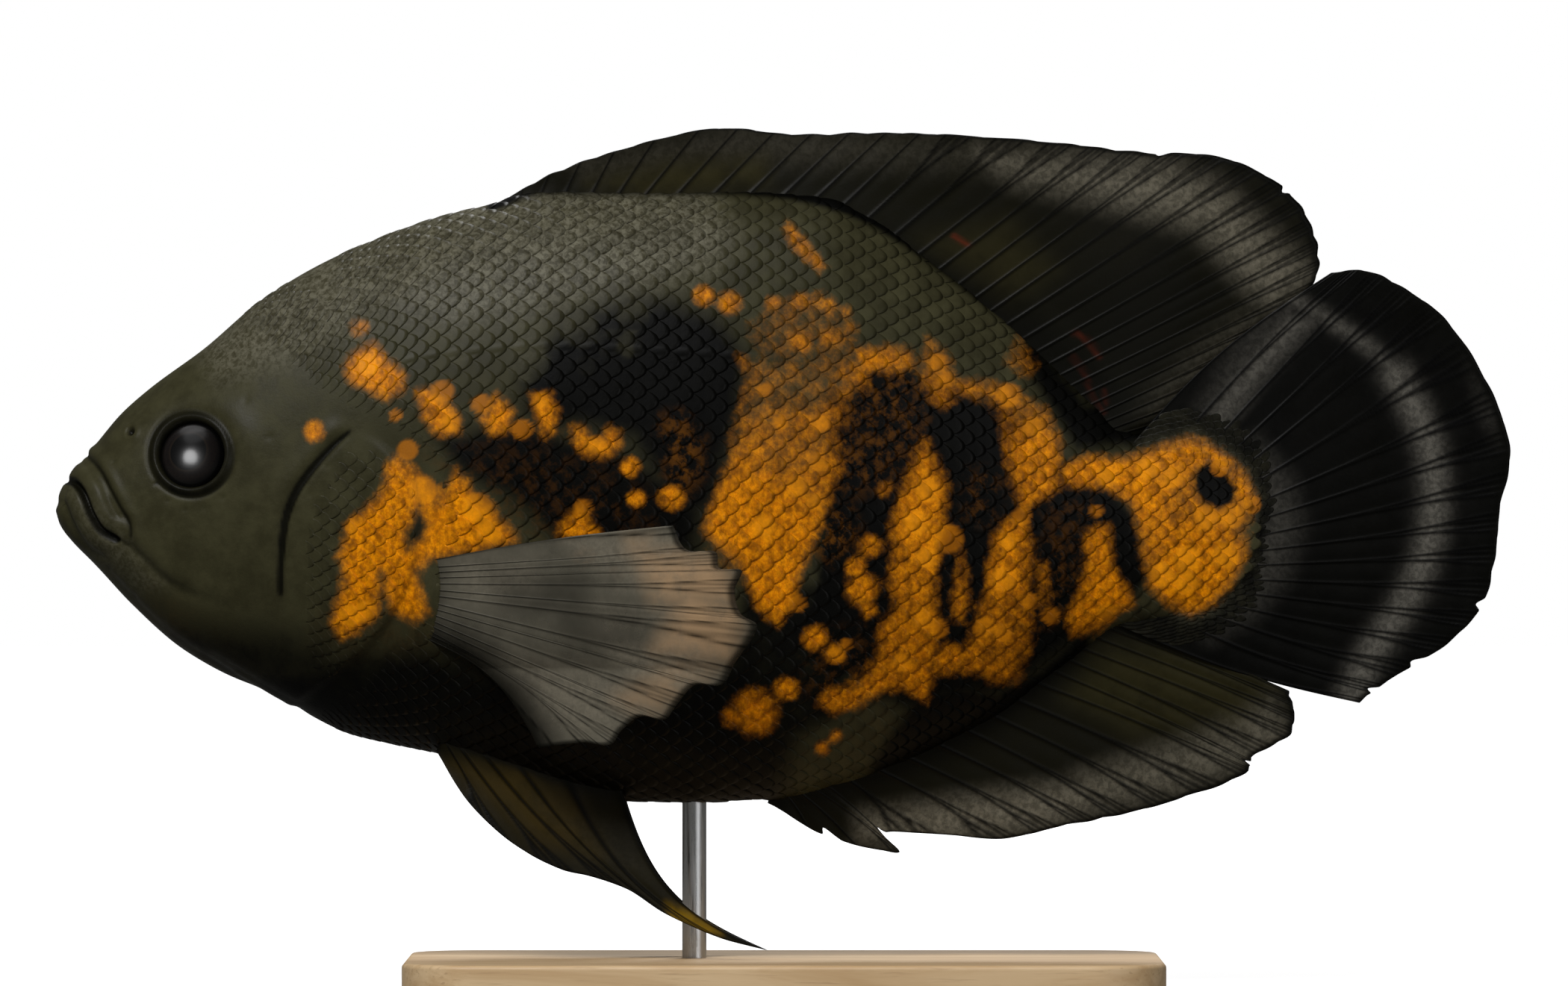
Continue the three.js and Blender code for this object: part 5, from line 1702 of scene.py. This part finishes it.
def wood_material():
    """Pale oiled wood with its grain along the base."""
    material, tree, shader = new_material("wood_finish")
    coords = stretched_coords(tree, 0.1, 1.0, 1.0)
    fibre = noise(stretched_coords(tree, 0.05, 1.0, 1.0), 1500, 3, 0.6)
    wood = mix(spread(noise(coords, 150, 5, 0.6, 0.8), 0.35, 0.65), rgb(190, 158, 116), rgb(214, 186, 146))
    wood = mix(spread(noise(coords, 22, 3, 0.5), 0.3, 0.7, 0, 0.4), wood, rgb(176, 142, 100))
    wood = mix(spread(fibre, 0.55, 0.75, 0, 0.45), wood, rgb(142, 108, 72))
    tree.links.new(wood, shader["Base Color"])
    tree.links.new(spread(fibre, 0.3, 0.7, 0.42, 0.58), shader["Roughness"])
    bump = add_node(tree, "ShaderNodeBump", {"Height": fibre, "Strength": 0.3, "Distance": 0.1 * MM})
    tree.links.new(bump.outputs["Normal"], shader["Normal"])
    return material


def steel_material():
    """Steel brushed lengthwise."""
    material, tree, shader = new_material("steel_finish")
    brush = noise(stretched_coords(tree, 1.0, 1.0, 0.03), 3500, 3, 0.7)
    tree.links.new(mix(brush, rgb(168, 170, 172), rgb(206, 207, 208)), shader["Base Color"])
    tree.links.new(spread(brush, 0.3, 0.7, 0.26, 0.42), shader["Roughness"])
    shader["Metallic"].default_value = 1.0
    return material


# Studio

def aim(item, target):
    direction = Vector(target) - item.location
    item.rotation_euler = direction.to_track_quat("-Z", "Y").to_euler()


def add_softbox(name, location, target, size, watts, shape="SQUARE"):
    light = bpy.data.lights.new(name, "AREA")
    light.shape = shape
    light.size = size
    light.energy = watts
    item = bpy.data.objects.new(name, light)
    item.location = location
    item.visible_camera = False
    bpy.context.scene.collection.objects.link(item)
    aim(item, target)
    return item


def add_eye_lights(eyeballs):
    """Two soft discs of light for each eye, which shine on the eyeballs alone, while the
    other lights leave them out."""
    only = bpy.data.collections.new("eyeballs")
    others = bpy.data.collections.new("all_but_eyeballs")
    for eyeball in eyeballs:
        only.objects.link(eyeball)
        others.objects.link(eyeball)
    for item in others.collection_objects:
        item.light_linking.link_state = "EXCLUDE"
    for item in bpy.context.scene.objects:
        if item.type == "LIGHT":
            item.light_linking.receiver_collection = others
    for side, side_name in SIDE_NAMES.items():
        eye = (-0.1216, side * 0.015, 0.11)
        spot = (eye[0] - 1.0, side * 1.95, eye[2] + 0.5)
        light = add_softbox(f"eye_light_{side_name}", spot, eye, 1.5, 180, "DISK")
        light.light_linking.receiver_collection = only
        above = (eye[0] - 0.42, side * 0.42, eye[2] + 1.7)
        light = add_softbox(f"eye_glow_{side_name}", above, eye, 1.5, 9, "DISK")
        light.light_linking.receiver_collection = only


def add_camera():
    """A long lens, level, at the height of the middle of the picture."""
    data = bpy.data.cameras.new("camera")
    data.lens = 300
    data.sensor_width = 36
    data.clip_end = 20
    camera = bpy.data.objects.new("camera", data)
    camera.location = (0.0, -2.696, 0.1019)
    camera.rotation_euler = (math.pi / 2, 0, 0)
    bpy.context.scene.collection.objects.link(camera)
    bpy.context.scene.camera = camera


def make_floor():
    """A wide pale floor. It glows a little where the camera sees it and stays dark to the
    fish, so that a dark fish isn't washed out by a white floor's light."""
    half = 6.0
    mesh = bpy.data.meshes.new("floor")
    corners = [(-half, -half, 0), (half, -half, 0), (half, half, 0), (-half, half, 0)]
    mesh.from_pydata(corners, [], [(0, 1, 2, 3)])
    material = bpy.data.materials.new("floor_finish")
    material.use_nodes = True
    tree = material.node_tree
    tree.nodes.clear()
    coords = object_coords(tree)
    away = add_node(tree, "ShaderNodeVectorMath", {0: coords}, operation="LENGTH").outputs["Value"]
    glow = spread(away, 0.15, 0.8, 0.74, 1.0)
    pale = add_node(tree, "ShaderNodeBsdfDiffuse", {"Color": (0.5, 0.5, 0.5, 1)}).outputs[0]
    shine = add_node(tree, "ShaderNodeEmission", {"Color": (1, 1, 1, 1), "Strength": glow}).outputs[0]
    seen = add_node(tree, "ShaderNodeAddShader", {0: pale, 1: shine}).outputs[0]
    unseen = add_node(tree, "ShaderNodeBsdfDiffuse", {"Color": (0.16, 0.16, 0.15, 1)}).outputs[0]
    camera_ray = add_node(tree, "ShaderNodeLightPath").outputs["Is Camera Ray"]
    surface = add_node(tree, "ShaderNodeMixShader", {0: camera_ray, 1: unseen, 2: seen}).outputs[0]
    add_node(tree, "ShaderNodeOutputMaterial", {"Surface": surface})
    mesh.materials.append(material)
    floor = bpy.data.objects.new("floor", mesh)
    bpy.context.scene.collection.objects.link(floor)


def make_studio():
    scene = bpy.context.scene
    world = bpy.data.worlds.new("studio")
    world.use_nodes = True
    tree = world.node_tree
    camera_ray = add_node(tree, "ShaderNodeLightPath").outputs["Is Camera Ray"]
    background = tree.nodes["Background"].inputs
    background["Color"].default_value = (1.0, 1.0, 1.0, 1)
    tree.links.new(spread(camera_ray, 0, 1, 0.1, 1.0), background["Strength"])
    scene.world = world
    scene.view_settings.view_transform = "Standard"
    scene.view_settings.look = "None"
    add_softbox("key", (-0.6, -1.3, 1.6), (0, 0, 0.1), 0.9, 40)
    add_softbox("fill", (1.3, -1.7, 0.5), (0, 0, 0.1), 1.2, 10)
    add_softbox("back_light", (0.4, 1.5, 1.8), (0, 0, 0.1), 1.0, 28)


# Building

add_camera()
make_studio()
make_floor()

body_paint = body_paint_group()
fin_paint = fin_paint_group()
skin_finish = skin_material(body_paint)
scale_finish = scale_material(body_paint)
dark_finish = fin_material(
    "dark_fin_finish", fin_paint, rgb(18, 17, 9), rgb(3, 3, 2), rgb(100, 95, 82), rgb(46, 42, 20)
)[0]
tail_finish = fin_material(
    "tail_fin_finish", fin_paint, rgb(5, 5, 4), rgb(2, 2, 2), rgb(92, 89, 82), rgb(40, 36, 8)
)[0]
pelvic_finish = fin_material(
    "pelvic_fin_finish", fin_paint, rgb(24, 21, 9), rgb(4, 4, 3), rgb(52, 48, 34), rgb(116, 90, 14)
)[0]
pectoral_finish = pectoral_material(fin_paint)
eye_finish = eye_material()

make_skin(skin_finish)
make_body_scales(scale_finish)

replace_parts(make_fin("dorsal", "dorsal", 0, dark_finish), "dorsal_fin")
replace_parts(make_fin("anal", "anal", 0, dark_finish), "anal_fin")
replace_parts(make_fin("tail", "tail", 0, tail_finish), "tail_fin")
eyeballs = []
for side, side_name in SIDE_NAMES.items():
    pectoral = make_fin(f"pectoral_{side_name}", "pectoral", side, pectoral_finish)
    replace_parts(pectoral, f"pectoral_fin_{side_name}")
    pelvic = make_fin(f"pelvic_{side_name}", "pelvic", side, pelvic_finish)
    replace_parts(pelvic, f"pelvic_fin_{side_name}")
    eyeballs.append(make_eye(side, eye_finish))
add_eye_lights(eyeballs)
make_tail_base_scales(scale_finish)

make_base(wood_material())
make_rod(steel_material())
